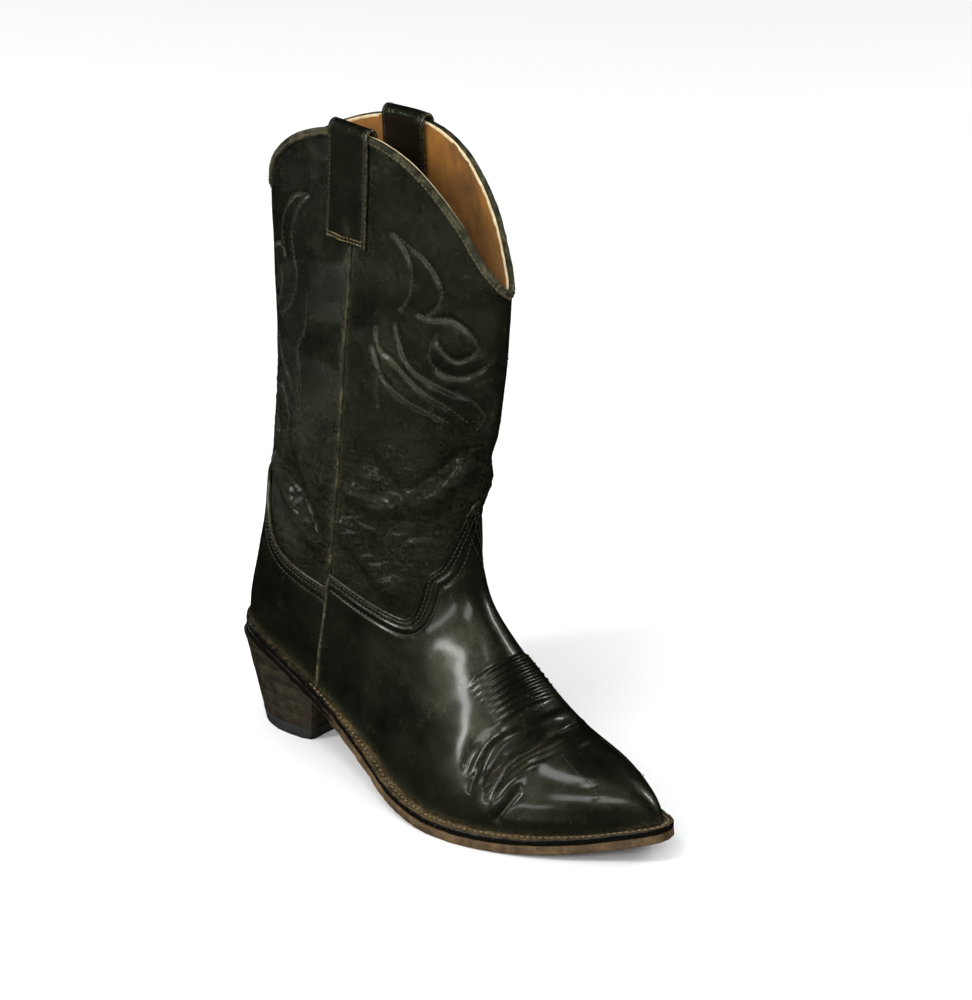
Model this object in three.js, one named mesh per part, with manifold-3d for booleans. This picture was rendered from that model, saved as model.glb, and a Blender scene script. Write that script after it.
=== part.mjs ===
// A right-foot cowboy boot, in millimetres, +Z up, the toe towards +X and the
// inner side of the foot towards +Y. Everything is first laid out with x = 0 at
// the back of the heel seat, and the finished group is then moved so that its
// origin is at the middle of its footprint, on the floor.
import * as THREE from 'three';
import * as BufferGeometryUtils from 'three/addons/utils/BufferGeometryUtils.js';
import Module from 'manifold-3d';

const wasm = await Module();
wasm.setup();

// ---------------------------------------------------------------- dimensions

// The outer face of the leg panels, as sections from the top of the leg to the
// toe. A section lies in a plane square to the boot's middle plane, and runs
// from a front point to a back point, or to an under point on the foot.
//   front x, z | back x, z | half width outer, inner | widest place, 0 front
//   to 1 back | roundness front, back | drift of the middle to the inner side
const SECTIONS = [
  [199, 392, 2, 392, 17, 25, 0.5, 1.1, 1.1, 0],
  [197, 335, 4, 335, 20, 27, 0.5, 1.2, 1.15, 0],
  [192, 275, 7, 275, 26, 30, 0.5, 1.35, 1.2, 0],
  [184, 220, 13, 216, 33, 33, 0.5, 1.6, 1.3, 0],
  [172, 184, 12, 172, 37, 37, 0.52, 1.9, 1.5, 0],
  [165, 160, 14, 136, 38, 37, 0.56, 2, 1.8, 0],
  [163, 145, 9, 100, 37, 36, 0.62, 2, 2, 0],
  [165, 133, 2, 72, 36, 34, 0.68, 1.9, 2, 0],
  [173, 113, 3, 38, 35, 32, 0.73, 1.8, 2.1, 0],
  [184, 101, 40, 6, 39, 30, 0.74, 1.8, 2.6, 0],
  [196, 89, 118, -14, 47, 31, 0.74, 1.8, 2.8, 0],
  [211, 74, 162, -16, 54, 38, 0.74, 1.8, 2.8, 1],
  [227, 59, 198, -15, 53, 42, 0.74, 1.8, 2.8, 1],
  [245, 52, 226, -12, 46, 37, 0.72, 1.8, 2.8, 3],
  [264, 46, 244, -8, 37, 31, 0.7, 1.8, 2.6, 4],
  [280, 40, 262, -6, 25, 21, 0.68, 1.8, 2.5, 5],
  [290, 34, 272, -4, 16, 14.5, 0.68, 1.7, 2.4, 6],
  [296, 27, 284, -2, 9.5, 8.5, 0.7, 1.7, 2.3, 6.5],
  [299, 17, 293, 2, 5, 5, 0.7, 1.8, 2.2, 7],
];
const AROUND = 28; // points round one section

// Height of the seat that the upper is lasted onto, along the foot: x, z.
const SOLE_UNDER_SEAT = 9; // from the seat down to the walking face
const SEAT_LINE = [
  [-10, 61], [0, 61], [25, 60], [45, 56], [75, 46], [104, 36.5], [136, 24.5],
  [160, 14], [190, SOLE_UNDER_SEAT], [214, SOLE_UNDER_SEAT], [245, 10.5],
  [275, 14.5], [303, 21.5], [325, 27],
];

// Side-view outlines, x and z.
const TOP_EDGE = [
  [-6, 303], [4, 308], [17, 328], [35, 343], [55, 353], [75, 359], [95, 361],
  [115, 359], [134, 352], [151, 340], [166, 325], [178, 308], [188, 296], [197, 290],
  [205, 288],
];
const SIDE_SEAM = [[93, 400], [95, 300], [98, 200], [97, 160], [88, 106], [82, 62], [86, 20]];
const VAMP_TOP = [
  [72, 118], [88, 114], [115, 103], [134, 98], [142, 100], [146, 110], [149, 124],
  [156, 132], [161, 148], [168, 170], [175, 178], [186, 180],
];
const COUNTER_TOP = [
  [-2, 153], [12, 152], [24, 146], [33, 132], [46, 119], [64, 111], [88, 104], [100, 101],
];

const GAP = 0.3; // between pieces that touch

// Layers of the upper, as distances outward from the leg panels' outer face.
const COVER = [1.9, GAP]; // vamp and counter, sewn over the panels
const PANEL = [0, -1.8]; // leg panels and the stiffeners in the foot
const LINING = [-2.1, -3.3];
const INSIDE = -3.6; // what lies inside the foot

const PANEL_UNDER_COVER = 7; // how far a leg panel runs under the vamp or counter
const SEAM_GAP = 1; // half the space that the side piping fills
const PIPING_HALF = 0.7;
const PIPING_ON_PANEL = [1.2, -1.8];
const PIPING_ON_COVER = [2.6, -1.8];
const PIPING_STEP = 106; // height where the piping leaves the cover
const BINDING = [0.6, -3.9];
const BINDING_HEIGHT = 4;

const TOE_BOX_START = 240;
const STIFFENER_FRONT = 78;
const STIFFENER_TOP = 92;

const WELT_THICK = 3.4;
const WELT_INSET = 4;
const WELT_BACK = 76;
const OUTSOLE_TOP = -WELT_THICK - GAP; // from the seat line
const OVERHANG_HEEL = 2.2;
const OVERHANG_BALL = 6.5;
const OVERHANG_TOE = 5.5;
const INSOLE = [GAP, 3.3]; // from the seat line
const HEEL_PAD = [3.6, 5.4];
const HEEL_PAD_FRONT = 84;
const CORK_BACK = 112;
const SHANK = { back: 30, front: 108, halfWidth: 7, low: -2.6, high: -0.8 };

const HEEL = {
  capTop: 6.7,
  lifts: 6,
  topHeight: 52,
  backTop: -2.5,
  backFloor: 10,
  breastTop: 73,
  breastFloor: 63,
  halfWidthTop: 34.5,
  halfWidthFloor: 28,
  breastHollow: 3,
  breastNarrow: 0.97,
  arcDepth: 32,
  arcSteps: 12,
};
const NAIL = { radius: 1.3, low: 10, high: 36 };
const NAIL_PLACES = [[26, -13], [26, 13], [50, -15], [50, 15]];
const PEG = { radius: 1.1, above: 1.5, side: 19, recess: 0.8, deeper: 4 };
const PEG_PLACES = [80, 88, 96, 104];

const STRAP = {
  middle: 92,
  halfWidth: 15.5,
  heights: [300, 318, 336, 354],
  top: 374,
  thick: 2.2,
  archAngles: [30, 60, 90, 120, 150],
  bulge: 2.5,
};
const STRAP_OUTER = 2.6; // from the panel's outer face to the strap's middle
const STRAP_INNER = -6.6;

const FAR = 100; // half the length of a cutting prism across the boot
const BELOW = -60;
const ABOVE = 420;

// ----------------------------------------------------------------- materials

const finish = (color, roughness, metalness = 0) =>
  new THREE.MeshStandardMaterial({ color, roughness, metalness });

const LEATHER = finish(0x15140f, 0.35);
const PANEL_LEATHER = finish(0x1b1a15, 0.5);
const LINING_LEATHER = finish(0xa8742c, 0.8);
const TRIM_LEATHER = finish(0x33332a, 0.6);
const STIFFENER = finish(0x8c7a5c, 0.9);
const WELT_LEATHER = finish(0x3a2d1e, 0.7);
const SOLE_LEATHER = finish(0x5b4127, 0.75);
const HEEL_LEATHER = finish(0x2c251b, 0.65);
const RUBBER = finish(0x141414, 0.8);
const CORK = finish(0x9c7b4e, 0.95);
const STEEL = finish(0x8f9296, 0.35, 1);
const WOOD = finish(0xc9a36a, 0.7);

// ------------------------------------------------------------ solids and cuts

function solidOf(geometry) {
  geometry.deleteAttribute('normal');
  geometry.deleteAttribute('uv');
  const merged = BufferGeometryUtils.mergeVertices(geometry, 1e-4);
  return new wasm.Manifold(
    new wasm.Mesh({
      numProp: 3,
      vertProperties: new Float32Array(merged.attributes.position.array),
      triVerts: new Uint32Array(merged.index.array),
    }),
  );
}

function geometryOf(solid) {
  const mesh = solid.getMesh();
  const geometry = new THREE.BufferGeometry();
  geometry.setAttribute('position', new THREE.BufferAttribute(mesh.vertProperties, 3));
  geometry.setIndex(new THREE.BufferAttribute(mesh.triVerts, 1));
  geometry.computeVertexNormals();
  return geometry;
}

// A closed body through a stack of rings with equal counts of points.
function loft(rings) {
  const count = rings[0].length;
  const index = [];
  const last = (rings.length - 1) * count;
  for (let r = 0; r + 1 < rings.length; r += 1) {
    for (let k = 0; k < count; k += 1) {
      const a = r * count + k;
      const b = r * count + ((k + 1) % count);
      index.push(a, b, a + count, b, b + count, a + count);
    }
  }
  for (let k = 1; k + 1 < count; k += 1) {
    index.push(0, k + 1, k);
    index.push(last, last + k, last + k + 1);
  }
  const geometry = new THREE.BufferGeometry().setFromPoints(rings.flat());
  geometry.setIndex(index);
  return solidOf(geometry);
}

const shapeOf = (points) => new THREE.Shape(points.map(([a, b]) => new THREE.Vector2(a, b)));

// The side outline, given in x and z, drawn right across the boot.
function sidePrism(outline) {
  const geometry = new THREE.ExtrudeGeometry(shapeOf(outline), {
    depth: 2 * FAR,
    bevelEnabled: false,
  });
  geometry.rotateX(Math.PI / 2);
  geometry.translate(0, FAR, 0);
  return solidOf(geometry);
}

// The plan outline, given in x and y, drawn from low to high.
function planPrism(outline, low = BELOW, high = ABOVE) {
  const geometry = new THREE.ExtrudeGeometry(shapeOf(outline), {
    depth: high - low,
    bevelEnabled: false,
  });
  geometry.translate(0, 0, low);
  return solidOf(geometry);
}

// The front outline, given in y and z, drawn from one x to another.
function frontPrism(outline, from, to) {
  const geometry = new THREE.ExtrudeGeometry(shapeOf(outline), {
    depth: to - from,
    bevelEnabled: false,
  });
  const turn = new THREE.Matrix4().set(0, 0, 1, from, 1, 0, 0, 0, 0, 1, 0, 0, 0, 0, 0, 1);
  geometry.applyMatrix4(turn);
  return solidOf(geometry);
}

function cylinder(x, y, radius, low, high, sides = 8) {
  const geometry = new THREE.CylinderGeometry(radius, radius, high - low, sides);
  geometry.rotateX(Math.PI / 2);
  geometry.translate(x, y, (low + high) / 2);
  return solidOf(geometry);
}

const shifted = (points, dx, dz) => points.map(([x, z]) => [x + dx, z + dz]);
const smooth = (points, steps) =>
  new THREE.SplineCurve(points.map(([x, z]) => new THREE.Vector2(x, z)))
    .getPoints(steps)
    .map((p) => [p.x, p.y]);

// ------------------------------------------------------------------ the form

function sectionAt(t) {
  const last = SECTIONS.length - 1;
  const i = Math.min(Math.floor(t), last - 1);
  const f = t - i;
  const row = (k) => SECTIONS[Math.min(Math.max(k, 0), last)];
  return row(i).map((b, column) => {
    const c = row(i + 1)[column];
    const a = i > 0 ? row(i - 1)[column] : 2 * b - c;
    const d = i + 2 <= last ? row(i + 2)[column] : 2 * c - b;
    const slopes = (c - a) * f + (2 * a - 5 * b + 4 * c - d) * f * f;
    return b + 0.5 * (slopes + (3 * b - a - 3 * c + d) * f * f * f);
  });
}

// One section at a distance outward from the leg panels' outer face. A place
// runs from 0 at the front point to 1 at the back or under point.
function sectionShape(t, outward) {
  const section = sectionAt(t);
  const [frontX, frontZ, backX, backZ, outer, inner, widest] = section;
  const [frontRound, backRound, drift] = section.slice(7);
  const span = Math.hypot(backX - frontX, backZ - frontZ);
  const alongX = (backX - frontX) / span;
  const alongZ = (backZ - frontZ) / span;
  const sharp = (roundness) => 1 + Math.max(0, 2 - roundness);
  const start = -outward * sharp(frontRound);
  const length = span - start + outward * sharp(backRound);
  const placeOf = (x, z) => ((x - frontX) * alongX + (z - frontZ) * alongZ - start) / length;
  const besides = (x, z) => (z - frontZ) * alongX - (x - frontX) * alongZ;
  const point = (place, side) => {
    const toFront = place < widest;
    const c = toFront ? 1 - place / widest : (place - widest) / (1 - widest);
    const roundness = toFront ? frontRound : backRound;
    const fullness = Math.max(0, 1 - c ** Math.max(2, roundness)) ** (1 / roundness);
    const half = side < 0 ? -(outer + outward) : inner + outward;
    const along = start + length * place;
    const x = frontX + alongX * along;
    return new THREE.Vector3(x, half * fullness + drift, frontZ + alongZ * along);
  };
  return { widest, placeOf, besides, point };
}

// A ring of points from the front, by the outer side, the back and the inner
// side, closer together towards the front and the back.
function ring(t, outward) {
  const { widest, point } = sectionShape(t, outward);
  const points = [];
  for (let k = 0; k < AROUND; k += 1) {
    const c = Math.cos((2 * Math.PI * k) / AROUND);
    const place = c > 0 ? widest * (1 - c) : widest - (1 - widest) * c;
    points.push(point(place, k < AROUND / 2 ? -1 : 1));
  }
  return points;
}

const forms = new Map();
function form(outward) {
  if (!forms.has(outward)) {
    forms.set(outward, loft(SECTIONS.map((_, t) => ring(t, outward))));
  }
  return forms.get(outward);
}

const wall = ([outer, inner]) => form(outer).subtract(form(inner));

// ----------------------------------------------------------- seat and outline

const seatLine = smooth(SEAT_LINE, 39).map(([x, z]) => [x, Math.max(z, SOLE_UNDER_SEAT)]);

function seatHeight(x) {
  const next = Math.max(1, seatLine.findIndex(([px]) => px >= x));
  const [x0, z0] = seatLine[next - 1];
  const [x1, z1] = seatLine[next];
  return z0 + ((z1 - z0) * (x - x0)) / (x1 - x0);
}

const slab = (low, high) =>
  sidePrism([...shifted(seatLine, 0, low), ...shifted(seatLine, 0, high).reverse()]);

function halving(low, high, isLow) {
  let [from, to] = [low, high];
  for (let step = 0; step < 30; step += 1) {
    const half = (from + to) / 2;
    if (isLow(half)) from = half;
    else to = half;
  }
  return from;
}

// The upper's section that passes through the seat at x, and the place on it.
function seatPlace(x, outward) {
  const z = seatHeight(x);
  const last = SECTIONS.length - 1;
  const t = halving(4, last, (s) => sectionShape(s, outward).besides(x, z) > 0);
  const shape = sectionShape(t, outward);
  return { shape, place: shape.placeOf(x, z) };
}

// Where a layer of the upper meets the seat, all round the foot, in plan.
function seatOutline(outward, steps = 30) {
  const heel = halving(-10, 20, (x) => seatPlace(x, outward).place > 1);
  const toe = halving(280, 315, (x) => seatPlace(x, outward).place > 0);
  const line = [];
  for (let k = 0; k < 2 * steps; k += 1) {
    const c = Math.cos((Math.PI * k) / steps);
    const x = (heel + toe) / 2 + ((toe - heel) / 2) * c;
    const { shape, place } = seatPlace(x, outward);
    const { y } = shape.point(Math.min(Math.max(place, 0), 1), k < steps ? -1 : 1);
    line.push([x, y]);
  }
  return line;
}

// Moves a plan outline outward by a distance that may depend on x.
function grown(line, distance) {
  const count = line.length;
  return line.map(([x, y], k) => {
    const [ax, ay] = line[(k + count - 1) % count];
    const [bx, by] = line[(k + 1) % count];
    const length = Math.hypot(bx - ax, by - ay);
    const d = distance(x);
    return [x - ((by - ay) / length) * d, y + ((bx - ax) / length) * d];
  });
}

const blend = (x, from, to) => THREE.MathUtils.smoothstep(x, from, to);
const overhang = (x) =>
  OVERHANG_HEEL +
  (OVERHANG_BALL - OVERHANG_HEEL) * blend(x, 70, 150) -
  (OVERHANG_BALL - OVERHANG_TOE) * blend(x, 230, 290);

const feather = seatOutline(COVER[0]);
const soleOutline = grown(feather, overhang);

// --------------------------------------------------------------- cutting tools

const END_X = 340;
const START_X = -40;
const topEdge = smooth(TOP_EDGE, 24);
const vampTop = smooth(VAMP_TOP, 24);
const counterTop = smooth(COUNTER_TOP, 14);

// Everything below or above a line that runs from heel to toe in side view.
function below(line, dx = 0, dz = 0) {
  const moved = shifted(line, dx, dz);
  const [first, last] = [moved[0][1], moved[moved.length - 1][1]];
  return sidePrism([[START_X, first], ...moved, [END_X, last], [END_X, BELOW], [START_X, BELOW]]);
}

function above(line, dx = 0, dz = 0) {
  const moved = shifted(line, dx, dz);
  const [first, last] = [moved[0][1], moved[moved.length - 1][1]];
  return sidePrism([[START_X, first], ...moved, [END_X, last], [END_X, ABOVE], [START_X, ABOVE]]);
}

const aboveSeat = above(seatLine, 0, GAP);
const seamFrom = (gap) => [
  [SIDE_SEAM[0][0] + gap, ABOVE],
  ...shifted(SIDE_SEAM, gap, 0),
  [SIDE_SEAM[SIDE_SEAM.length - 1][0] + gap, BELOW],
];
const frontOfSeam = (gap) => sidePrism([...seamFrom(gap), [END_X, BELOW], [END_X, ABOVE]]);
const behindSeam = (gap) => sidePrism([...seamFrom(-gap), [START_X, BELOW], [START_X, ABOVE]]);
const between = (x0, x1, z0 = BELOW, z1 = ABOVE) =>
  sidePrism([[x0, z0], [x1, z0], [x1, z1], [x0, z1]]);

const underTop = below(topEdge, 0, -BINDING_HEIGHT);
const outerSide = planPrism([[START_X, -FAR], [END_X, -FAR], [END_X, 0], [START_X, 0]]);
const innerSide = planPrism([[START_X, 0], [END_X, 0], [END_X, FAR], [START_X, FAR]]);

// -------------------------------------------------------------------- pieces

const pieces = [];
const add = (name, solid, material) => pieces.push({ name, solid, material });

function makeUpper() {
  const vampArea = frontOfSeam(SEAM_GAP)
    .intersect(below(vampTop))
    .intersect(aboveSeat);
  const counterArea = behindSeam(SEAM_GAP)
    .intersect(below(counterTop))
    .intersect(aboveSeat);
  add('vamp', wall(COVER).intersect(vampArea), LEATHER);
  add('counter', wall(COVER).intersect(counterArea), LEATHER);

  const under = PANEL_UNDER_COVER;
  const frontArea = above(vampTop, under, -under);
  const backArea = above(counterTop, -under, -under);
  const panel = wall(PANEL).intersect(underTop);
  const frontPanel = panel.intersect(frontOfSeam(SEAM_GAP)).intersect(frontArea);
  const backPanel = panel.intersect(behindSeam(SEAM_GAP)).intersect(backArea);
  add('shaft_front', frontPanel, PANEL_LEATHER);
  add('shaft_back', backPanel, PANEL_LEATHER);
}

function makeStiffeners() {
  const toe = between(TOE_BOX_START, END_X).intersect(aboveSeat);
  const heel = between(START_X, STIFFENER_FRONT, BELOW, STIFFENER_TOP).intersect(aboveSeat);
  add('toe_box', wall(PANEL).intersect(toe), STIFFENER);
  add('heel_stiffener', wall(PANEL).intersect(heel), STIFFENER);
}

// The vamp lining fills the space under the vamp between the toe box and the
// end of the front panel, where its fabric backing makes it thicker.
function makeLinings() {
  const lining = wall(LINING).intersect(underTop);
  const foot = frontOfSeam(GAP).intersect(below(vampTop, 0, -GAP)).intersect(aboveSeat);
  const under = PANEL_UNDER_COVER + GAP;
  const filled = foot
    .intersect(below(vampTop, under, -under))
    .intersect(frontOfSeam(SEAM_GAP))
    .intersect(between(START_X, TOE_BOX_START - GAP));
  const thick = wall([0, LINING[1]]).intersect(filled);
  add('vamp_lining', lining.intersect(foot).add(thick), LINING_LEATHER);

  const legFront = frontOfSeam(GAP).intersect(above(vampTop));
  const legBack = behindSeam(GAP).intersect(aboveSeat);
  add('shaft_lining_front', lining.intersect(legFront), LINING_LEATHER);
  add('shaft_lining_back', lining.intersect(legBack), LINING_LEATHER);
}

function makeTrim() {
  const strip = frontOfSeam(-PIPING_HALF).intersect(behindSeam(-PIPING_HALF));
  const low = wall(PIPING_ON_COVER).intersect(between(START_X, END_X, BELOW, PIPING_STEP));
  const whole = wall(PIPING_ON_PANEL).add(low).intersect(strip).intersect(underTop);
  const piping = whole.intersect(aboveSeat);
  add('side_piping_outer', piping.intersect(outerSide), TRIM_LEATHER);
  add('side_piping_inner', piping.intersect(innerSide), TRIM_LEATHER);

  const band = below(topEdge).intersect(above(topEdge, 0, GAP - BINDING_HEIGHT));
  add('top_binding', wall(BINDING).intersect(band), TRIM_LEATHER);
}

// Half the width of one side of the leg near its top, where sections lie flat.
function halfWidthAt(z, side) {
  const upper = z > SECTIONS[1][1] ? 0 : 1;
  const share = (SECTIONS[upper][1] - z) / (SECTIONS[upper][1] - SECTIONS[upper + 1][1]);
  return sectionAt(upper + share)[side < 0 ? 4 : 5];
}

// A pull strap is one band, up the outside, over the top edge and down inside.
function makeStrap(name, side) {
  const leg = (offset) => (z) => [halfWidthAt(z, side) + offset, z];
  const outside = STRAP.heights.map(leg(STRAP_OUTER));
  const inside = [...STRAP.heights].reverse().map(leg(STRAP_INNER));
  const [outY, spring] = outside[outside.length - 1];
  const [inY] = inside[0];
  const half = (outY - inY) / 2;
  const rise = STRAP.top - STRAP.thick / 2 - spring;
  const arch = STRAP.archAngles.map((degrees) => {
    const angle = THREE.MathUtils.degToRad(degrees);
    const across = (half + STRAP.bulge) * Math.cos(angle);
    return [outY - half + across, spring + rise * Math.sin(angle)];
  });
  const path = [...outside, ...arch, ...inside];
  const edge = (distance) =>
    path.map(([y, z], k) => {
      const [ay, az] = path[Math.max(0, k - 1)];
      const [by, bz] = path[Math.min(path.length - 1, k + 1)];
      const length = Math.hypot(by - ay, bz - az);
      return [y + ((bz - az) / length) * distance, z - ((by - ay) / length) * distance];
    });
  const outline = [...edge(STRAP.thick / 2), ...edge(-STRAP.thick / 2).reverse()];
  const placed = outline.map(([y, z]) => [side * y, z]);
  const band = frontPrism(placed, STRAP.middle - STRAP.halfWidth, STRAP.middle + STRAP.halfWidth);
  add(name, band, LEATHER);
}

// -------------------------------------------------------- under the foot

function makeInside() {
  const room = form(INSIDE);
  const forward = between(START_X, HEEL_PAD_FRONT);
  add('insole', room.intersect(slab(...INSOLE)).subtract(pegHoles()), SOLE_LEATHER);
  add('heel_pad', room.intersect(slab(...HEEL_PAD)).intersect(forward), LINING_LEATHER);
}

function makeWeltLayer() {
  const outside = planPrism(soleOutline);
  const inside = planPrism(seatOutline(COVER[0] - WELT_INSET));
  const layer = slab(-WELT_THICK, 0);
  const rim = outside.subtract(inside).intersect(layer);
  add('welt', rim.intersect(between(WELT_BACK, END_X)), WELT_LEATHER);
  add('heel_rand', rim.intersect(between(START_X, WELT_BACK - GAP)), WELT_LEATHER);

  const bed = planPrism(seatOutline(COVER[0] - WELT_INSET - GAP)).intersect(layer);
  add('cork_filler', bed.intersect(between(CORK_BACK, END_X)), CORK);

  const steel = between(SHANK.back, SHANK.front).intersect(slab(SHANK.low, SHANK.high));
  const strip = planPrism([
    [SHANK.back, -SHANK.halfWidth],
    [SHANK.front, -SHANK.halfWidth],
    [SHANK.front, SHANK.halfWidth],
    [SHANK.back, SHANK.halfWidth],
  ]);
  add('steel_shank', steel.intersect(strip), STEEL);
  const outsole = outside.intersect(slab(-SOLE_UNDER_SEAT, OUTSOLE_TOP));
  add('outsole', outsole.subtract(pegHoles()), SOLE_LEATHER);
}

const pegSpots = PEG_PLACES.flatMap((x) => [[x, -PEG.side], [x, PEG.side]]);
const pegLow = (x) => seatHeight(x) - SOLE_UNDER_SEAT + PEG.recess;
const pegHigh = (x) => seatHeight(x) + PEG.above;

function pegHoles() {
  const holes = pegSpots.map(([x, y]) =>
    cylinder(x, y, PEG.radius + GAP, pegLow(x) - PEG.deeper, pegHigh(x) + GAP),
  );
  return holes.reduce((all, hole) => all.add(hole));
}

function makePegs() {
  pegSpots.forEach(([x, y], k) => {
    add(`sole_peg_${k + 1}`, cylinder(x, y, PEG.radius, pegLow(x), pegHigh(x)), WOOD);
  });
}

// --------------------------------------------------------------------- heel

// The heel narrows towards the floor and its back slopes forward.
function heelRing(z) {
  const share = z / HEEL.topHeight;
  const mix = (floor, top) => floor + (top - floor) * share;
  const back = mix(HEEL.backFloor, HEEL.backTop);
  const breast = mix(HEEL.breastFloor, HEEL.breastTop);
  const half = mix(HEEL.halfWidthFloor, HEEL.halfWidthTop);
  const points = [];
  for (let k = 0; k <= HEEL.arcSteps; k += 1) {
    const angle = Math.PI * (0.5 + k / HEEL.arcSteps);
    points.push([back + HEEL.arcDepth * (1 + Math.cos(angle)), half * Math.sin(angle)]);
  }
  for (const place of [-1, -0.5, 0, 0.5, 1]) {
    const hollow = HEEL.breastHollow * (1 - place * place);
    points.push([breast - hollow, half * HEEL.breastNarrow * place]);
  }
  return points.map(([x, y]) => new THREE.Vector3(x, y, z));
}

function makeHeel() {
  const underSole = below(seatLine, 0, -SOLE_UNDER_SEAT - GAP);
  const nailHoles = NAIL_PLACES.map(([x, y]) =>
    cylinder(x, y, NAIL.radius + GAP, NAIL.low - GAP, NAIL.high + GAP),
  ).reduce((all, hole) => all.add(hole));
  const pitch = (HEEL.topHeight + 3 - HEEL.capTop - GAP) / HEEL.lifts;
  add('heel_cap', loft([heelRing(0), heelRing(HEEL.capTop)]), RUBBER);
  for (let k = 0; k < HEEL.lifts; k += 1) {
    const low = HEEL.capTop + GAP + k * pitch;
    const lift = loft([heelRing(low), heelRing(low + pitch - GAP)]);
    add(`heel_lift_${k + 1}`, lift.intersect(underSole).subtract(nailHoles), HEEL_LEATHER);
  }
  NAIL_PLACES.forEach(([x, y], k) => {
    add(`heel_nail_${k + 1}`, cylinder(x, y, NAIL.radius, NAIL.low, NAIL.high), STEEL);
  });
}

// ----------------------------------------------------------------- assembly

makeUpper();
makeStiffeners();
makeLinings();
makeTrim();
makeStrap('pull_strap_outer', -1);
makeStrap('pull_strap_inner', 1);
makeInside();
makeWeltLayer();
makePegs();
makeHeel();

const boot = new THREE.Group();
for (const { name, solid, material } of pieces) {
  const mesh = new THREE.Mesh(geometryOf(solid), material.clone());
  mesh.name = name;
  boot.add(mesh);
}
const box = new THREE.Box3().setFromObject(boot);
const middle = box.getCenter(new THREE.Vector3());
boot.position.set(-middle.x, -middle.y, -box.min.z);

export default boot;
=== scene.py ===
"""The finish of a worn black cowboy boot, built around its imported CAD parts.

Lengths are millimetres in the boot's own layout: x from the back of the heel
seat towards the toe, y to the inner side of the foot, z up from the floor.
Meshes are turned into metres in the frame's axes as they are made."""

import math

import bmesh
import bpy
import numpy as np
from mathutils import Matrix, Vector


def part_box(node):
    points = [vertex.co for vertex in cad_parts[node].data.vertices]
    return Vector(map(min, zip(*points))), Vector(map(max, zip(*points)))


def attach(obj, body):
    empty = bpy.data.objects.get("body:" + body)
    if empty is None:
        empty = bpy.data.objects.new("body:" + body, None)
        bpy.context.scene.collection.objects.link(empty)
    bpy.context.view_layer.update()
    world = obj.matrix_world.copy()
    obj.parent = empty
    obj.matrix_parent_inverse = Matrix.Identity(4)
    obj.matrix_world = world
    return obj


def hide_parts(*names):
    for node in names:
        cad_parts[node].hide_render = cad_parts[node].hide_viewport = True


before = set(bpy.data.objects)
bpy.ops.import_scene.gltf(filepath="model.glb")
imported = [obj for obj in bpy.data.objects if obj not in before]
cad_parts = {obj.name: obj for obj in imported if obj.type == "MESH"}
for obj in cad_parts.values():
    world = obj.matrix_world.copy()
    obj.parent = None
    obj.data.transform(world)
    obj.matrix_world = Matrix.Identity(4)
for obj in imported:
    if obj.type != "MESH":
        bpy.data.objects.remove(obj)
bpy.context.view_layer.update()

MM = 0.001
SHANK_BACK = 30  # where the steel shank starts in the boot's layout
shank_low, shank_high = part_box("steel_shank")
ORIGIN = np.array([
    shank_low.x / MM - SHANK_BACK,
    (shank_low.y + shank_high.y) / 2 / MM,
    0,
])
OUTER, INNER = -1, 1  # the two sides of the boot

# ------------------------------------------------------------------ the form

# The outer face of the leg panels, as sections from the top of the leg to the
# toe. A section runs from a front point to a back, or under, point.
#   front x, z | back x, z | half width outer, inner | widest place |
#   roundness front, back | drift of the middle to the inner side
SECTIONS = np.array([
    [199, 392, 2, 392, 17, 25, 0.5, 1.1, 1.1, 0],
    [197, 335, 4, 335, 20, 27, 0.5, 1.2, 1.15, 0],
    [192, 275, 7, 275, 26, 30, 0.5, 1.35, 1.2, 0],
    [184, 220, 13, 216, 33, 33, 0.5, 1.6, 1.3, 0],
    [172, 184, 12, 172, 37, 37, 0.52, 1.9, 1.5, 0],
    [165, 160, 14, 136, 38, 37, 0.56, 2, 1.8, 0],
    [163, 145, 9, 100, 37, 36, 0.62, 2, 2, 0],
    [165, 133, 2, 72, 36, 34, 0.68, 1.9, 2, 0],
    [173, 113, 3, 38, 35, 32, 0.73, 1.8, 2.1, 0],
    [184, 101, 40, 6, 39, 30, 0.74, 1.8, 2.6, 0],
    [196, 89, 118, -14, 47, 31, 0.74, 1.8, 2.8, 0],
    [211, 74, 162, -16, 54, 38, 0.74, 1.8, 2.8, 1],
    [227, 59, 198, -15, 53, 42, 0.74, 1.8, 2.8, 1],
    [245, 52, 226, -12, 46, 37, 0.72, 1.8, 2.8, 3],
    [264, 46, 244, -8, 37, 31, 0.7, 1.8, 2.6, 4],
    [280, 40, 262, -6, 25, 21, 0.68, 1.8, 2.5, 5],
    [290, 34, 272, -4, 16, 14.5, 0.68, 1.7, 2.4, 6],
    [296, 27, 284, -2, 9.5, 8.5, 0.7, 1.7, 2.3, 6.5],
    [299, 17, 293, 2, 5, 5, 0.7, 1.8, 2.2, 7],
], float)
(
    FRONT_X, FRONT_Z, BACK_X, BACK_Z, HALF_OUTER, HALF_INNER, WIDEST,
    FRONT_ROUND, BACK_ROUND, DRIFT,
) = range(10)
LAST = len(SECTIONS) - 1
FOOT_START = 4  # the first section that can cross the seat

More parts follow.
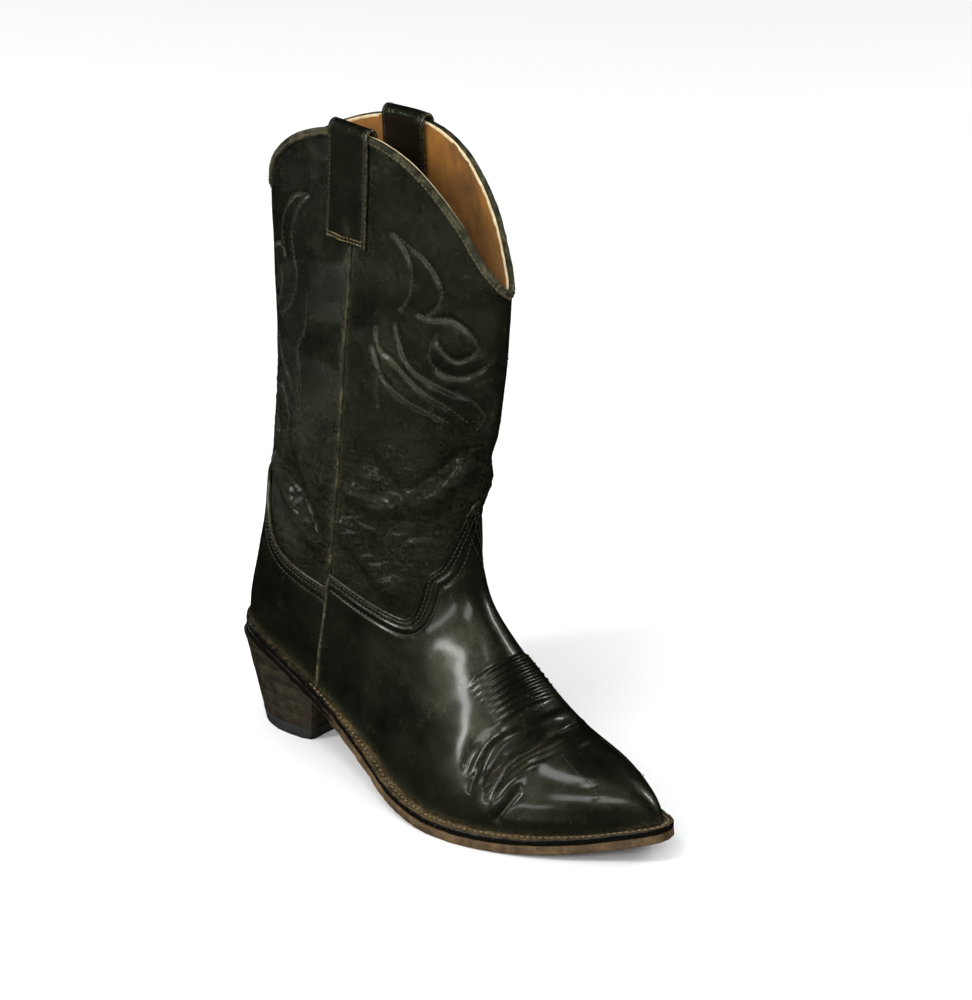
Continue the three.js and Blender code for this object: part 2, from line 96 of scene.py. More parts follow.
SOLE_UNDER_SEAT = 9
SEAT_LINE = [
    (-10, 61), (0, 61), (25, 60), (45, 56), (75, 46), (104, 36.5), (136, 24.5),
    (160, 14), (190, SOLE_UNDER_SEAT), (214, SOLE_UNDER_SEAT), (245, 10.5),
    (275, 14.5), (303, 21.5), (325, 27),
]
TOP_EDGE = [
    (-6, 303), (4, 308), (17, 328), (35, 343), (55, 353), (75, 359), (95, 361),
    (115, 359), (134, 352), (151, 340), (166, 325), (178, 308), (188, 296),
    (197, 290), (205, 288),
]
SIDE_SEAM = [(86, 20), (82, 62), (88, 106), (97, 160), (98, 200), (95, 300), (93, 400)]
VAMP_TOP = [
    (72, 118), (88, 114), (115, 103), (134, 98), (142, 100), (146, 110), (149, 124),
    (156, 132), (161, 148), (168, 170), (175, 178), (186, 180),
]
COUNTER_TOP = [
    (-2, 153), (12, 152), (24, 146), (33, 132), (46, 119), (64, 111), (88, 104), (100, 101),
]

# Layers, as distances outward from the leg panels' outer face.
COVER = (1.9, 0.3)
PANEL = (0, -1.8)
LINING = (-2.1, -3.3)
INSIDE = -3.6
PANEL_UNDER_COVER = 7
SEAM_GAP = 1
LINING_SEAM_GAP = 0.3
COLLAR_RISE, COLLAR_SLOPE = 0.5, 3  # how the cover steps up over the leg panel's end

# The form is read from a fine grid, softened so that reflections run smoothly.
ALONG, HALF_ROUND = 1441, 384
AROUND = 2 * HALF_ROUND
STATION_SOFTNESS = 28  # grid rows
ROUND_SOFTNESS = 0.011  # share of one turn


def spline_rows(table, t):
    """Catmull-Rom curves through the rows of a table, read at positions t."""
    ends = [2 * table[0] - table[1]], [2 * table[-1] - table[-2]]
    padded = np.vstack([ends[0], table, ends[1]])
    i = np.clip(t.astype(int), 0, len(table) - 2)
    f = (t - i)[:, None]
    a, b, c, d = (padded[i + k] for k in range(4))
    return b + 0.5 * f * (c - a + f * (2 * a - 5 * b + 4 * c - d + f * (3 * b - a - 3 * c + d)))


def smooth_line(points, steps=240):
    """A smooth line through given points."""
    table = np.array(points, float)
    return spline_rows(table, np.linspace(0, len(table) - 1, steps))


def soften(rows, sigma):
    """Blurs rows along their length and keeps the ends in place."""
    reach = 3 * sigma
    kernel = np.exp(-0.5 * (np.arange(-reach, reach + 1) / sigma) ** 2)
    padded = np.pad(rows, ((reach, reach), (0, 0)), mode="reflect", reflect_type="odd")
    columns = [np.convolve(column, kernel / kernel.sum(), "valid") for column in padded.T]
    return np.stack(columns, axis=1)


def section_points(rows, place, side):
    """Points of each section at places from 0, its front, to 1, its back."""
    column = rows.T[:, :, None]
    in_front = place < column[WIDEST]
    to_front = 1 - place / column[WIDEST]
    to_back = (place - column[WIDEST]) / (1 - column[WIDEST])
    ratio = np.where(in_front, to_front, to_back)
    roundness = np.where(in_front, column[FRONT_ROUND], column[BACK_ROUND])
    fullness = np.maximum(0, 1 - ratio ** np.maximum(2, roundness)) ** (1 / roundness)
    half = column[HALF_OUTER if side == OUTER else HALF_INNER]
    x = column[FRONT_X] + (column[BACK_X] - column[FRONT_X]) * place
    z = column[FRONT_Z] + (column[BACK_Z] - column[FRONT_Z]) * place
    return np.stack([x, side * half * fullness + column[DRIFT], z], axis=-1)


def even_places(rows, side):
    """Places spaced evenly by length round one half of each section."""
    turn = np.cos(np.linspace(0, np.pi, 500))
    widest = rows[:, WIDEST, None]
    place = np.where(turn > 0, widest * (1 - turn), widest - (1 - widest) * turn)
    steps = np.linalg.norm(np.diff(section_points(rows, place, side), axis=1), axis=2)
    length = np.pad(np.cumsum(steps, axis=1), ((0, 0), (1, 0)))
    even = np.linspace(0, 1, HALF_ROUND + 1)
    return np.array([np.interp(even, l / l[-1], p) for l, p in zip(length, place)])


def blend(x, low, high):
    """Smooth step from 0 to 1."""
    s = np.clip((x - low) / (high - low), 0, 1)
    return s * s * (3 - 2 * s)


def unit(vectors):
    """The vectors at length one."""
    return vectors / np.maximum(np.linalg.norm(vectors, axis=-1, keepdims=True), 1e-9)


def normals_of(points):
    """Outward directions of the form's grid."""
    along = np.gradient(points, axis=0)
    around = np.roll(points, -1, axis=1) - np.roll(points, 1, axis=1)
    return unit(np.cross(around, along))


def form_grid(rows):
    """The whole form as rows of points, from the front by the outer side."""
    outer = section_points(rows, PLACES[OUTER], OUTER)
    inner = section_points(rows, PLACES[INNER], INNER)
    points = np.concatenate([outer, inner[:, -2:0:-1]], axis=1)
    turns = np.fft.rfftfreq(AROUND, 1 / AROUND)[None, :, None]
    keep = np.exp(-2 * (np.pi * ROUND_SOFTNESS * turns) ** 2)
    return np.fft.irfft(np.fft.rfft(points, axis=1) * keep, AROUND, axis=1)


ROWS = soften(spline_rows(SECTIONS, np.linspace(0, LAST, ALONG)), STATION_SOFTNESS)
PLACES = {side: even_places(ROWS, side) for side in (OUTER, INNER)}
form = {"points": form_grid(ROWS)}
form["normals"] = normals_of(form["points"])


def read_form(layer, tu):
    """Reads a layer of the form at (t, u): t counts sections, u turns round."""
    a = np.clip(tu[..., 0] / LAST, 0, 1) * (ALONG - 1)
    i = np.minimum(a.astype(int), ALONG - 2)
    f = (a - i)[..., None]
    b = (tu[..., 1] % 1) * AROUND
    j = b.astype(int) % AROUND
    g = (b - np.floor(b))[..., None]
    k = (j + 1) % AROUND
    grid = form[layer]
    low = grid[i, j] * (1 - g) + grid[i, k] * g
    high = grid[i + 1, j] * (1 - g) + grid[i + 1, k] * g
    return low * (1 - f) + high * f


def on_form(tu, outward=0.0):
    """Points at places (t, u), moved outward by millimetres."""
    lift = np.asarray(outward, float)[..., None]
    return read_form("points", tu) + unit(read_form("normals", tu)) * lift


def side_places(x, z, side, first=0.0):
    """Places of points given in side view on one side of the boot, and how far
    from front to back each lies on its section before it is held to it."""
    x, z = np.asarray(x, float), np.asarray(z, float)
    low, high = np.full(x.shape, float(first)), np.full(x.shape, float(LAST))
    steps = np.linspace(0, LAST, ALONG)
    read = lambda t, column: np.interp(t, steps, ROWS[:, column])
    for _ in range(28):
        t = (low + high) / 2
        front_x, front_z = read(t, FRONT_X), read(t, FRONT_Z)
        run, rise = read(t, BACK_X) - front_x, read(t, BACK_Z) - front_z
        before = (z - front_z) * run - (x - front_x) * rise > 0
        low, high = np.where(before, t, low), np.where(before, high, t)
    place = ((x - front_x) * run + (z - front_z) * rise) / (run**2 + rise**2)
    row = np.rint(t / LAST * (ALONG - 1)).astype(int)
    share = np.linspace(0, 0.5, HALF_ROUND + 1)
    turn = [np.interp(p, PLACES[side][r], share) for p, r in zip(place.flat, row.flat)]
    turn = np.reshape(turn, x.shape)
    return np.stack([t, -side * turn], axis=-1), place


def nearest_places(points):
    """Places on the form nearest to points in space."""
    step = 4
    coarse = form["points"][::step, ::step]
    points, found = np.asarray(points, float), []
    for point in points:
        gap = ((coarse - point) ** 2).sum(axis=2)
        i, j = np.unravel_index(gap.argmin(), gap.shape)
        found.append((i * step / (ALONG - 1) * LAST, j * step / AROUND))
    found = np.array(found)
    found[:, 1] = (found[:, 1] + 0.5) % 1 - 0.5
    return slide(found, points - on_form(found))


def resample(tu, shares):
    """A line of places, read at shares of its length in space."""
    steps = np.linalg.norm(np.diff(on_form(tu), axis=0), axis=1)
    length = np.concatenate([[0], np.cumsum(steps)])
    share = length / length[-1]
    return np.stack([np.interp(shares, share, tu[:, 0]), np.interp(shares, share, tu[:, 1])], 1)


def slide(tu, step):
    """Moves places by steps in space, held to the form."""
    e = 2e-3
    moved = tu.copy()
    for _ in range(3):
        by_t = (read_form("points", moved + [e, 0]) - read_form("points", moved - [e, 0])) / (2 * e)
        by_u = (read_form("points", moved + [0, e]) - read_form("points", moved - [0, e])) / (2 * e)
        tt, uu, tu_ = (by_t**2).sum(-1), (by_u**2).sum(-1), (by_t * by_u).sum(-1)
        a, b = (by_t * step / 3).sum(-1), (by_u * step / 3).sum(-1)
        size = tt * uu - tu_**2
        moved += np.stack([(a * uu - b * tu_) / size, (b * tt - a * tu_) / size], axis=-1)
    return moved


def beside(tu, distance):
    """The line that runs beside a line of places, towards the toe if positive."""
    points = on_form(tu)
    ahead = unit(np.gradient(points, axis=0))
    return slide(tu, np.cross(ahead, unit(read_form("normals", tu))) * distance)


# --------------------------------------------------------- folds in the upper

# Broad folds as (points in side view, height, width): the outer side, and the
# inner side where they run a little lower and shallower.
FOLDS = [
    ([(140, 163), (152, 171), (163, 182), (174, 197)], 2.6, 6.5),
    ([(139, 169), (150, 178), (160, 188), (170, 200)], -2.2, 4),
    ([(115, 194), (126, 184), (136, 174), (143, 167)], -1.6, 7),
    ([(122, 196), (133, 186), (142, 178)], 1.0, 5),
    ([(100, 172), (114, 163), (128, 160), (142, 166)], 1.5, 5.5),
    ([(103, 160), (118, 152), (133, 152), (146, 158)], -1.4, 7),
    ([(95, 154), (105, 138), (115, 124), (126, 113), (134, 104)], 2.0, 6),
    ([(100, 134), (108, 122), (116, 113)], -1.3, 5.5),
    ([(116, 144), (126, 130), (136, 118)], -1.0, 8),
    ([(28, 168), (46, 157), (62, 147), (78, 131), (86, 118)], 2.3, 6),
    ([(46, 172), (62, 160), (76, 144), (87, 130)], -2.0, 6.5),
    ([(24, 158), (38, 146), (54, 133), (70, 122)], -1.6, 6),
    ([(62, 176), (74, 165), (86, 150)], 1.0, 5),
    ([(64, 150), (80, 150)], -0.8, 5),
    ([(150, 246), (164, 240), (180, 242)], -0.7, 12),
    ([(104, 260), (118, 240), (132, 228)], 0.7, 16),
    ([(166, 206), (172, 190), (168, 172)], -1.2, 8),
]
INNER_FOLD_SHIFT = (3, -4)
INNER_FOLD_SHARE = 0.8

# Folds where the foot bends, on the vamp, as points in space.
FLEX_FOLDS = [
    ([(216, -48, 24), (216, -37, 44), (217, -30, 51), (222, -22, 56), (227, -8, 59),
      (226, 9, 58), (222, 24, 50)], 1.7, 3.6),
    ([(220, -47, 22), (225, -38, 37), (228, -27, 47), (233, -13, 54), (233, 3, 56),
      (228, 20, 49)], -2.2, 3.4),
    ([(224, -47, 15), (229, -41, 27), (233, -34, 37), (239, -20, 48)], 0.8, 3),
    ([(227, -45, 13), (232, -39, 25), (236, -31, 35)], -0.9, 2.6),
    ([(209, -47, 34), (210, -37, 49), (213, -27, 58)], -1.2, 5),
    ([(222, 38, 20), (224, 32, 36), (226, 24, 46)], -1.4, 4),
    ([(216, 40, 20), (218, 34, 38), (220, 25, 50)], 1.0, 4),
    ([(240, -2, 54), (250, -4, 52)], 0.8, 9),
]
FOLD_GAIN = 1.75
FOLD_TAPER = 0.22  # share of a fold's length over which it fades in and out


def near(points, line):
    """Distance of points from a line, and how far along it they lie, 0 to 1."""
    best, along = np.full(len(points), np.inf), np.zeros(len(points))
    lengths = np.linalg.norm(np.diff(line, axis=0), axis=1)
    start = 0
    for a, b, length in zip(line, line[1:], lengths):
        share = np.clip((points - a) @ (b - a) / length**2, 0, 1)
        gap = np.linalg.norm(points - a - share[:, None] * (b - a), axis=1)
        closer = gap < best
        best[closer] = gap[closer]
        along[closer] = (start + share[closer] * length) / lengths.sum()
        start += length
    return best, along


def marks(points, lines, taper=0.0):
    """Height of ridges and grooves along lines: (line, height, width)."""
    flat = points.reshape(-1, 3)
    height_at = np.zeros(len(flat))
    for line, height, width in lines:
        reach = 3 * width
        inside = np.all((flat > line.min(0) - reach) & (flat < line.max(0) + reach), axis=1)
        if not inside.any():
            continue
        gap, along = near(flat[inside], line)
        fade = blend(np.minimum(along, 1 - along), 0, taper) if taper else 1
        height_at[inside] += height * np.exp(-((gap / width) ** 2)) * fade
    return height_at.reshape(points.shape[:-1])


def side_trace(points, side, shift=(0, 0)):
    """A side-view line carried onto one side of the form, as points in space."""
    x, z = smooth_line(points, 6 * len(points)).T
    return on_form(side_places(x + shift[0], z + shift[1], side)[0])


def space_trace(points):
    """A line given in space, laid onto the form."""
    return on_form(nearest_places(smooth_line(points, 5 * len(points))))


def fold_form():
    """Presses the folds into the form, so that every layer follows them."""
    lines = [(side_trace(p, OUTER), h * FOLD_GAIN, w) for p, h, w in FOLDS]
    lines += [
        (side_trace(p, INNER, INNER_FOLD_SHIFT), h * INNER_FOLD_SHARE, w) for p, h, w in FOLDS
    ]
    lines += [(space_trace(p), h, w) for p, h, w in FLEX_FOLDS]
    lift = marks(form["points"], lines, FOLD_TAPER)
    form["points"] = form["points"] + form["normals"] * lift[..., None]
    form["normals"] = normals_of(form["points"])


fold_form()

# ------------------------------------------------------------- seat and lines

seat_points = smooth_line(SEAT_LINE, 400)


def seat_height(x):
    """Height of the seat that the upper stands on."""
    return np.interp(x, seat_points[:, 0], np.maximum(seat_points[:, 1], SOLE_UNDER_SEAT))


def seam_x(z):
    """Where the side seam stands at a height."""
    x, heights = smooth_line(SIDE_SEAM).T
    return np.interp(z, heights, x)


def seat_ends():
    """x of the seat line's ends at the heel and at the toe."""
    back, front = np.linspace(-10, 20, 400), np.linspace(280, 315, 400)
    behind = side_places(back, seat_height(back), OUTER, FOOT_START)[1]
    ahead = side_places(front, seat_height(front), OUTER, FOOT_START)[1]
    return back[behind <= 1][0], front[ahead >= 0][-1]


HEEL_X, TOE_X = seat_ends()


def seat_half(side, from_x, to_x, steps=200):
    """The line where the upper meets the seat, as places from one x to another."""
    turn = np.linspace(0, np.pi, 2000)
    every_x = (HEEL_X + TOE_X) / 2 - (TOE_X - HEEL_X) / 2 * np.cos(turn)
    low, high = sorted((from_x, to_x))
    x = np.concatenate([[low], every_x[(every_x > low) & (every_x < high)], [high]])
    x = x[:: max(1, len(x) // steps)] if from_x < to_x else x[::-1][:: max(1, len(x) // steps)]
    x = np.append(x, to_x) if x[-1] != to_x else x
    return side_places(x, seat_height(x), side, FOOT_START)[0]


def cut_half(points, side, gap, shift=(0, 0)):
    """The part of a side-view line in front of the seam, with a positive gap,
    or behind it, as places from the seam to the middle of the boot."""
    x, z = (smooth_line(points, 600) + shift).T
    if gap < 0:
        x, z = x[::-1], z[::-1]
    past = (x - seam_x(z) - gap) * np.sign(gap) > 0
    first = np.argmax(past)
    x, z = x[first:], z[first:]
    tu, place = side_places(x, z, side)
    ended = np.nonzero((place <= 0) | (place >= 1))[0]
    end = ended[0] + 1 if len(ended) else len(tu)
    return tu[:end]


def edge_steps(count, length, both=True):
    """Shares of a length, with closer steps at its edges, in millimetres."""
    close = np.array([0, 0.35, 0.8])
    if both:
        middle = np.linspace(1.5, length - 1.5, count - 6)
        return np.concatenate([close, middle, length - close[::-1]]) / length
    return np.concatenate([close, np.linspace(1.5, length, count - 3)]) / length


def packed(shares, low, high, gain):
    """Shares of a length, packed closer between two of them."""
    fine = np.linspace(0, 1, 2001)
    density = 1 + gain * (blend(fine, low - 0.06, low) - blend(fine, high, high + 0.06))
    run = np.concatenate([[0], np.cumsum((density[1:] + density[:-1]) / 2)])
    return np.interp(shares, run / run[-1], fine)


def across(half_of, shares, behind=False):
    """Joins a line's outer and inner halves into one, from seam to seam."""
    outer, inner = resample(half_of(OUTER), shares), resample(half_of(INNER), shares)
    if behind:
        inner[:, 1] += 1
    return np.vstack([outer, inner[::-1][1:]])


def seam_places(side, low, high, gap, shares, behind):
    """Places along the side seam between two heights."""
    z = low + (high - low) * shares
    tu = side_places(seam_x(z) + gap, z, side)[0]
    if behind and side == INNER:
        tu[:, 1] += 1
    return tu


def net(bottom, top, gap, row_shares, column_shares):
    """Places that fill the area between two lines and the two side seams."""
    behind = gap < 0
    s = np.concatenate([column_shares / 2, 1 - column_shares[::-1][1:] / 2])[None, :, None]
    r = row_shares[:, None, None]
    sides = []
    for side, end in ((OUTER, 0), (INNER, -1)):
        low, high = on_form(bottom[end])[2], on_form(top[end])[2]
        line = seam_places(side, low, high, gap, row_shares, behind)
        line[0], line[-1] = bottom[end], top[end]
        sides.append(line[:, None])
    corners = (1 - r) * ((1 - s) * bottom[0] + s * bottom[-1])
    corners = corners + r * ((1 - s) * top[0] + s * top[-1])
    between = (1 - r) * bottom[None] + r * top[None]
    return between + (1 - s) * sides[0] + s * sides[1] - corners


# ---------------------------------------------------------------- mesh making


def new_piece(name, points, faces, material, slot, stands_for=(), sharp=50, attributes=None):
    """A smooth-shaded mesh object that rides on the boot, from millimetres."""
    mesh = bpy.data.meshes.new(name)
    mesh.from_pydata(((np.asarray(points) + ORIGIN) * MM).tolist(), [], faces)
    for key, values in (attributes or {}).items():
        layer = mesh.attributes.new(key, "FLOAT", "POINT")
        layer.data.foreach_set("value", np.asarray(values, np.float32))
    shape = bmesh.new()
    shape.from_mesh(mesh)
    bmesh.ops.recalc_face_normals(shape, faces=shape.faces)
    shape.to_mesh(mesh)
    shape.free()
    mesh.shade_smooth()
    mesh.set_sharp_from_angle(angle=math.radians(sharp))
    mesh.materials.append(material)
    piece = bpy.data.objects.new(name, mesh)
    bpy.context.scene.collection.objects.link(piece)
    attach(piece, "root")
    if stands_for:
        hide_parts(*stands_for)
    return piece


def grid_faces(rows, columns, start=0, turned=False):
    """Quads of a grid of points."""
    first = np.arange(rows - 1)[:, None] * columns + np.arange(columns - 1) + start
    quads = np.stack([first, first + 1, first + columns + 1, first + columns], axis=-1)
    quads = quads.reshape(-1, 4)
    return (quads[:, ::-1] if turned else quads).tolist()


def rim_of(rows, columns, start=0):
    """Indices once round the edge of a grid."""
    index = np.arange(rows * columns).reshape(rows, columns) + start
    parts = [index[0, :-1], index[:-1, -1], index[-1, :0:-1], index[:0:-1, 0]]
    return np.concatenate(parts)


COARSE = 4  # the hidden face of a leather has one point in this many


def leather_faces(rows, columns):
    """Faces of a leather: a fine outer sheet, a coarse inner one and the edge."""
    few_rows, few_columns = (rows - 1) // COARSE + 1, (columns - 1) // COARSE + 1
    start = rows * columns
    faces = grid_faces(rows, columns)
    faces += grid_faces(few_rows, few_columns, start, turned=True)
    fine, rough = rim_of(rows, columns), rim_of(few_rows, few_columns, start)
    for k, a in enumerate(rough):
        b = rough[(k + 1) % len(rough)]
        o = [fine[(COARSE * k + m) % len(fine)] for m in range(COARSE + 1)]
        faces += [(o[0], o[1], a), (o[1], o[2], a), (o[2], b, a), (o[2], o[3], b), (o[3], o[4], b)]
    return [tuple(int(i) for i in face) for face in faces]


def edge_distance(points):
    """Distance of each point of a grid from the grid's nearest edge."""
    gaps = []
    for axis in (0, 1):
        steps = np.linalg.norm(np.diff(points, axis=axis), axis=2)
        run = np.pad(np.cumsum(steps, axis=axis), ((1, 0), (0, 0)) if axis == 0 else ((0, 0), (1, 0)))
        total = run[-1:] if axis == 0 else run[:, -1:]
        gaps += [run, total - run]
    return gaps


ROLL, ROLL_WIDTH = 0.55, 1.1  # how a cut edge rounds over


def leather(name, places, layer, material, slot, stands_for, relief=None, wear=None, crinkle=None):
    """A closed piece of leather on a net of places, with rounded edges."""
    rows, columns = places.shape[:2]
    base = on_form(places)
    gaps = edge_distance(base)
    roll = ROLL * np.clip(1 - np.minimum.reduce(gaps) / ROLL_WIDTH, 0, 1) ** 2
    lift = relief(base, gaps) if relief else 0
    top = on_form(places, layer[0] + lift - roll)
    under = on_form(places[::COARSE, ::COARSE], layer[1])
    worn = wear(base, gaps) if wear else np.zeros((rows, columns))
    points = np.concatenate([top.reshape(-1, 3), under.reshape(-1, 3)])
    drawn = crinkle(base) if crinkle else np.zeros((rows, columns))
    attributes = {
        key: np.concatenate([values.ravel(), np.zeros(under.size // 3)])
        for key, values in (("wear", worn), ("crinkle", drawn))
    }
    faces = leather_faces(rows, columns)
    return new_piece(name, points, faces, material, slot, stands_for, attributes=attributes)


def sweep_points(path, outs, profile, closed):
    """Rings of a profile, given across and outward, carried along a path."""
    if closed:
        ahead = np.roll(path, -1, axis=0) - np.roll(path, 1, axis=0)
    else:
        ahead = np.gradient(path, axis=0)
    ahead = unit(ahead)
    sideways = unit(np.cross(ahead, outs))
    outs = np.cross(sideways, ahead)
    profile = np.asarray(profile, float)
    return path[:, None] + sideways[:, None] * profile[:, :1] + outs[:, None] * profile[:, 1:]


def ring_faces(rings, count, closed):
    """Quads between rings of count points, with capped ends unless closed."""
    faces = []
    for r in range(rings if closed else rings - 1):
        a, b = r * count, (r + 1) % rings * count
        faces += [(a + k, a + (k + 1) % count, b + (k + 1) % count, b + k) for k in range(count)]
    if not closed:
        faces += [tuple(range(count))[::-1], tuple(range((rings - 1) * count, rings * count))]
    return faces


def lofted(name, rings, material, slot, stands_for=(), closed=False, **options):
    """A piece through rings of points."""
    rings = np.asarray(rings)
    faces = ring_faces(len(rings), rings.shape[1], closed)
    return new_piece(name, rings.reshape(-1, 3), faces, material, slot, stands_for, **options)


def rounded_box(width, height, radius, steps=4):
    """Outline of a box with rounded corners, centred, as across and outward."""
    points = []
    for corner, (cx, cy) in enumerate(((1, 1), (-1, 1), (-1, -1), (1, -1))):
        for k in range(steps + 1):
            angle = math.pi / 2 * (corner + k / steps)
            x = cx * (width / 2 - radius) + radius * math.cos(angle)
            y = cy * (height / 2 - radius) + radius * math.sin(angle)
            points.append((x, y))
    return points


WAVES = 14


def ripple(points, wavelength, seed, stretch=(1, 1, 1)):
    """Smooth seeded unevenness, mostly within -1 to 1."""
    rng = np.random.default_rng(seed)
    ways = unit(rng.normal(size=(WAVES, 3))) * 2 * np.pi / wavelength
    ways /= rng.uniform(0.7, 1.5, (WAVES, 1))
    phase = rng.uniform(0, 2 * np.pi, WAVES)
    return np.sin((points * stretch) @ ways.T + phase).sum(axis=-1) / math.sqrt(WAVES)


# ------------------------------------------------------------------ materials


def colour(text):
    """A linear colour from sRGB hex."""
    parts = [int(text[k : k + 2], 16) / 255 for k in (1, 3, 5)]
    linear = [c / 12.92 if c <= 0.04045 else ((c + 0.055) / 1.055) ** 2.4 for c in parts]
    return (*linear, 1)


def add_node(tree, kind, settings=None, **inputs):
    """A node with its settings; an input is a value or a socket to link from."""
    node = tree.nodes.new(kind)
    for key, value in (settings or {}).items():
        setattr(node, key, value)
    for key, value in inputs.items():
        name = key.replace("_", " ")
        socket = node.inputs[int(key[1:])] if key[0] == "i" and key[1:].isdigit() else node.inputs[name]
        if isinstance(value, bpy.types.NodeSocket):
            tree.links.new(value, socket)
        else:
            socket.default_value = value
    return node


def new_material(name, **shader):
    """A material with a Principled shader; returns it, its tree and the shader."""
    material = bpy.data.materials.new(name)
    material.use_nodes = True
    tree = material.node_tree
    principled = tree.nodes["Principled BSDF"]
    for key, value in shader.items():
        principled.inputs[key.replace("_", " ")].default_value = value
    return material, tree, principled


def per_mm(size):
    """Texture scale, in cells for each metre, for a feature size in millimetres."""
    return 1 / (size * MM)


def noise(tree, size, detail=2.0, roughness=0.5, vector=None):
    """Noise with features of a size in millimetres, on Object coordinates."""
    vector = vector or tree.nodes.get("place").outputs["Object"]
    return add_node(
        tree, "ShaderNodeTexNoise", Vector=vector, Scale=per_mm(size), Detail=detail,
        Roughness=roughness,
    ).outputs["Fac"]


def start_place(tree):
    """The texture coordinates that the patterns are read at."""
    node = add_node(tree, "ShaderNodeTexCoord")
    node.name = "place"
    return node.outputs["Object"]


def stretched(tree, scale):
    """Object coordinates, scaled by axis for a pattern that runs one way."""
    place = tree.nodes["place"].outputs["Object"]
    return add_node(tree, "ShaderNodeMapping", Vector=place, Scale=scale).outputs["Vector"]


def ramp(tree, value, low, high, to_low=0.0, to_high=1.0):
    """Maps a value between two limits, held to them."""
    return add_node(
        tree, "ShaderNodeMapRange", i0=value, i1=low, i2=high, i3=to_low, i4=to_high
    ).outputs[0]


def times(tree, a, b):
    """The product of two values."""
    return add_node(tree, "ShaderNodeMath", {"operation": "MULTIPLY"}, i0=a, i1=b).outputs[0]


def plus(tree, a, b):
    """The sum of two values."""
    return add_node(tree, "ShaderNodeMath", {"operation": "ADD"}, i0=a, i1=b).outputs[0]


def mixed(tree, factor, first, second):
    """A mix of two colours."""
    settings = {"data_type": "RGBA"}
    return add_node(tree, "ShaderNodeMix", settings, i0=factor, i6=first, i7=second).outputs[2]


def bump(tree, principled, layers):
    """Chains bumps, given as (height, relief in millimetres, strength)."""
    normal = None
    for height, relief, strength in layers:
        node = add_node(tree, "ShaderNodeBump", Height=height, Distance=relief * MM)
        node.inputs["Strength"].default_value = strength
        if normal:
            tree.links.new(normal, node.inputs["Normal"])
        normal = node.outputs["Normal"]
    tree.links.new(normal, principled.inputs["Normal"])


def attribute(tree, name):
    """A value stored on the mesh's points."""
    return add_node(tree, "ShaderNodeAttribute", {"attribute_name": name}).outputs["Fac"]


LEATHER_TINT = "#c6cda9"  # old wax turns what the leather reflects a little olive


def bent_cells(tree, size, pull, squash):
    """Distance to the borders of cells that noise has pulled out of shape."""
    pulled = add_node(
        tree, "ShaderNodeTexNoise", Vector=tree.nodes["place"].outputs["Object"],
        Scale=per_mm(3 * size), Detail=2.0,
    ).outputs["Color"]
    vector = add_node(
        tree, "ShaderNodeMix", {"data_type": "VECTOR"}, i0=pull, i4=stretched(tree, squash), i5=pulled
    ).outputs[1]
    return add_node(
        tree, "ShaderNodeTexVoronoi", {"feature": "DISTANCE_TO_EDGE"}, Vector=vector,
        Scale=per_mm(size),
    ).outputs["Distance"]


def black_leather(name, dark, light, dust, roughness, coat, coat_roughness, grain, shine):
    """Finished black leather: a fine pebble of cells, drawn creases, a gloss that varies with polish
    and scuffs, dust where the edges and creases wear, and broad lighter patches in the colour that are
    partly random tone and partly painted sheen."""
    material, tree, shader = new_material(
        name, IOR=1.5, Specular_Tint=colour(LEATHER_TINT), Coat_Weight=coat,
        Coat_Roughness=coat_roughness, Coat_IOR=1.5,
    )
    place = start_place(tree)
    # Broad lighter patches in the base colour: partly random tone, partly painted sheen in place of
    # reflected light.
    tone_and_painted_sheen = noise(tree, 38, 3, 0.55)
    tone = mixed(tree, ramp(tree, tone_and_painted_sheen, 0.38, 0.66), colour(dark), colour(light))
    streaks = noise(tree, 2.2, 3, 0.6, stretched(tree, (0.7, 0.7, 0.05)))
    scratched = ramp(tree, streaks, 0.71, 0.76, 0, 0.2)
    scuffs = ramp(tree, noise(tree, 9, 5, 0.7), 0.58, 0.85, 0, 0.35)
    rubbed = plus(tree, attribute(tree, "wear"), scuffs)
    rubbed = times(tree, rubbed, ramp(tree, noise(tree, 1.6, 4, 0.65), 0.36, 0.66))
    rubbed = plus(tree, rubbed, scratched)
    tree.links.new(mixed(tree, rubbed, tone, colour(dust)), shader.inputs["Base Color"])
    patches = noise(tree, 30, 4, 0.6)
    tree.links.new(ramp(tree, patches, 0.36, 0.64, *shine), shader.inputs["Specular IOR Level"])
    polish = ramp(tree, noise(tree, 22, 4, 0.6), 0.36, 0.68, *roughness)
    dull = plus(tree, polish, ramp(tree, rubbed, 0, 1, 0, 0.3))
    tree.links.new(dull, shader.inputs["Roughness"])
    # Grain cells of about 1 mm, a little larger than calf grain so that they show.
    cells = add_node(
        tree, "ShaderNodeTexVoronoi", {"feature": "DISTANCE_TO_EDGE"}, Vector=place,
        Scale=per_mm(1.0),
    ).outputs["Distance"]
    crinkled = plus(tree, attribute(tree, "crinkle"), 0.04)
    crazed = times(tree, ramp(tree, bent_cells(tree, 3.4, 0.25, (1.0, 1.0, 2.4)), 0, 0.16), crinkled)
    drawn = times(tree, noise(tree, 2.6, 6, 0.7, stretched(tree, (0.8, 0.8, 2.6))), crinkled)
    bump(tree, shader, [
        (noise(tree, 9, 3, 0.5), 0.5, 0.25 * grain), (crazed, 0.8, 0.8 * grain),
        (drawn, 1.4, 0.8 * grain), (cells, 0.1, 0.3 * grain),
    ])
    return material


# Brush-polished calf of the vamp and counter: lamps read as long soft streaks
# that break up over the creases.
glossy_leather = black_leather(
    "polished black calf leather", dark="#080905", light="#11120b", dust="#57503a",
    roughness=(0.2, 0.4), coat=0.3, coat_roughness=0.15, grain=0.5, shine=(0.2, 0.5),
)
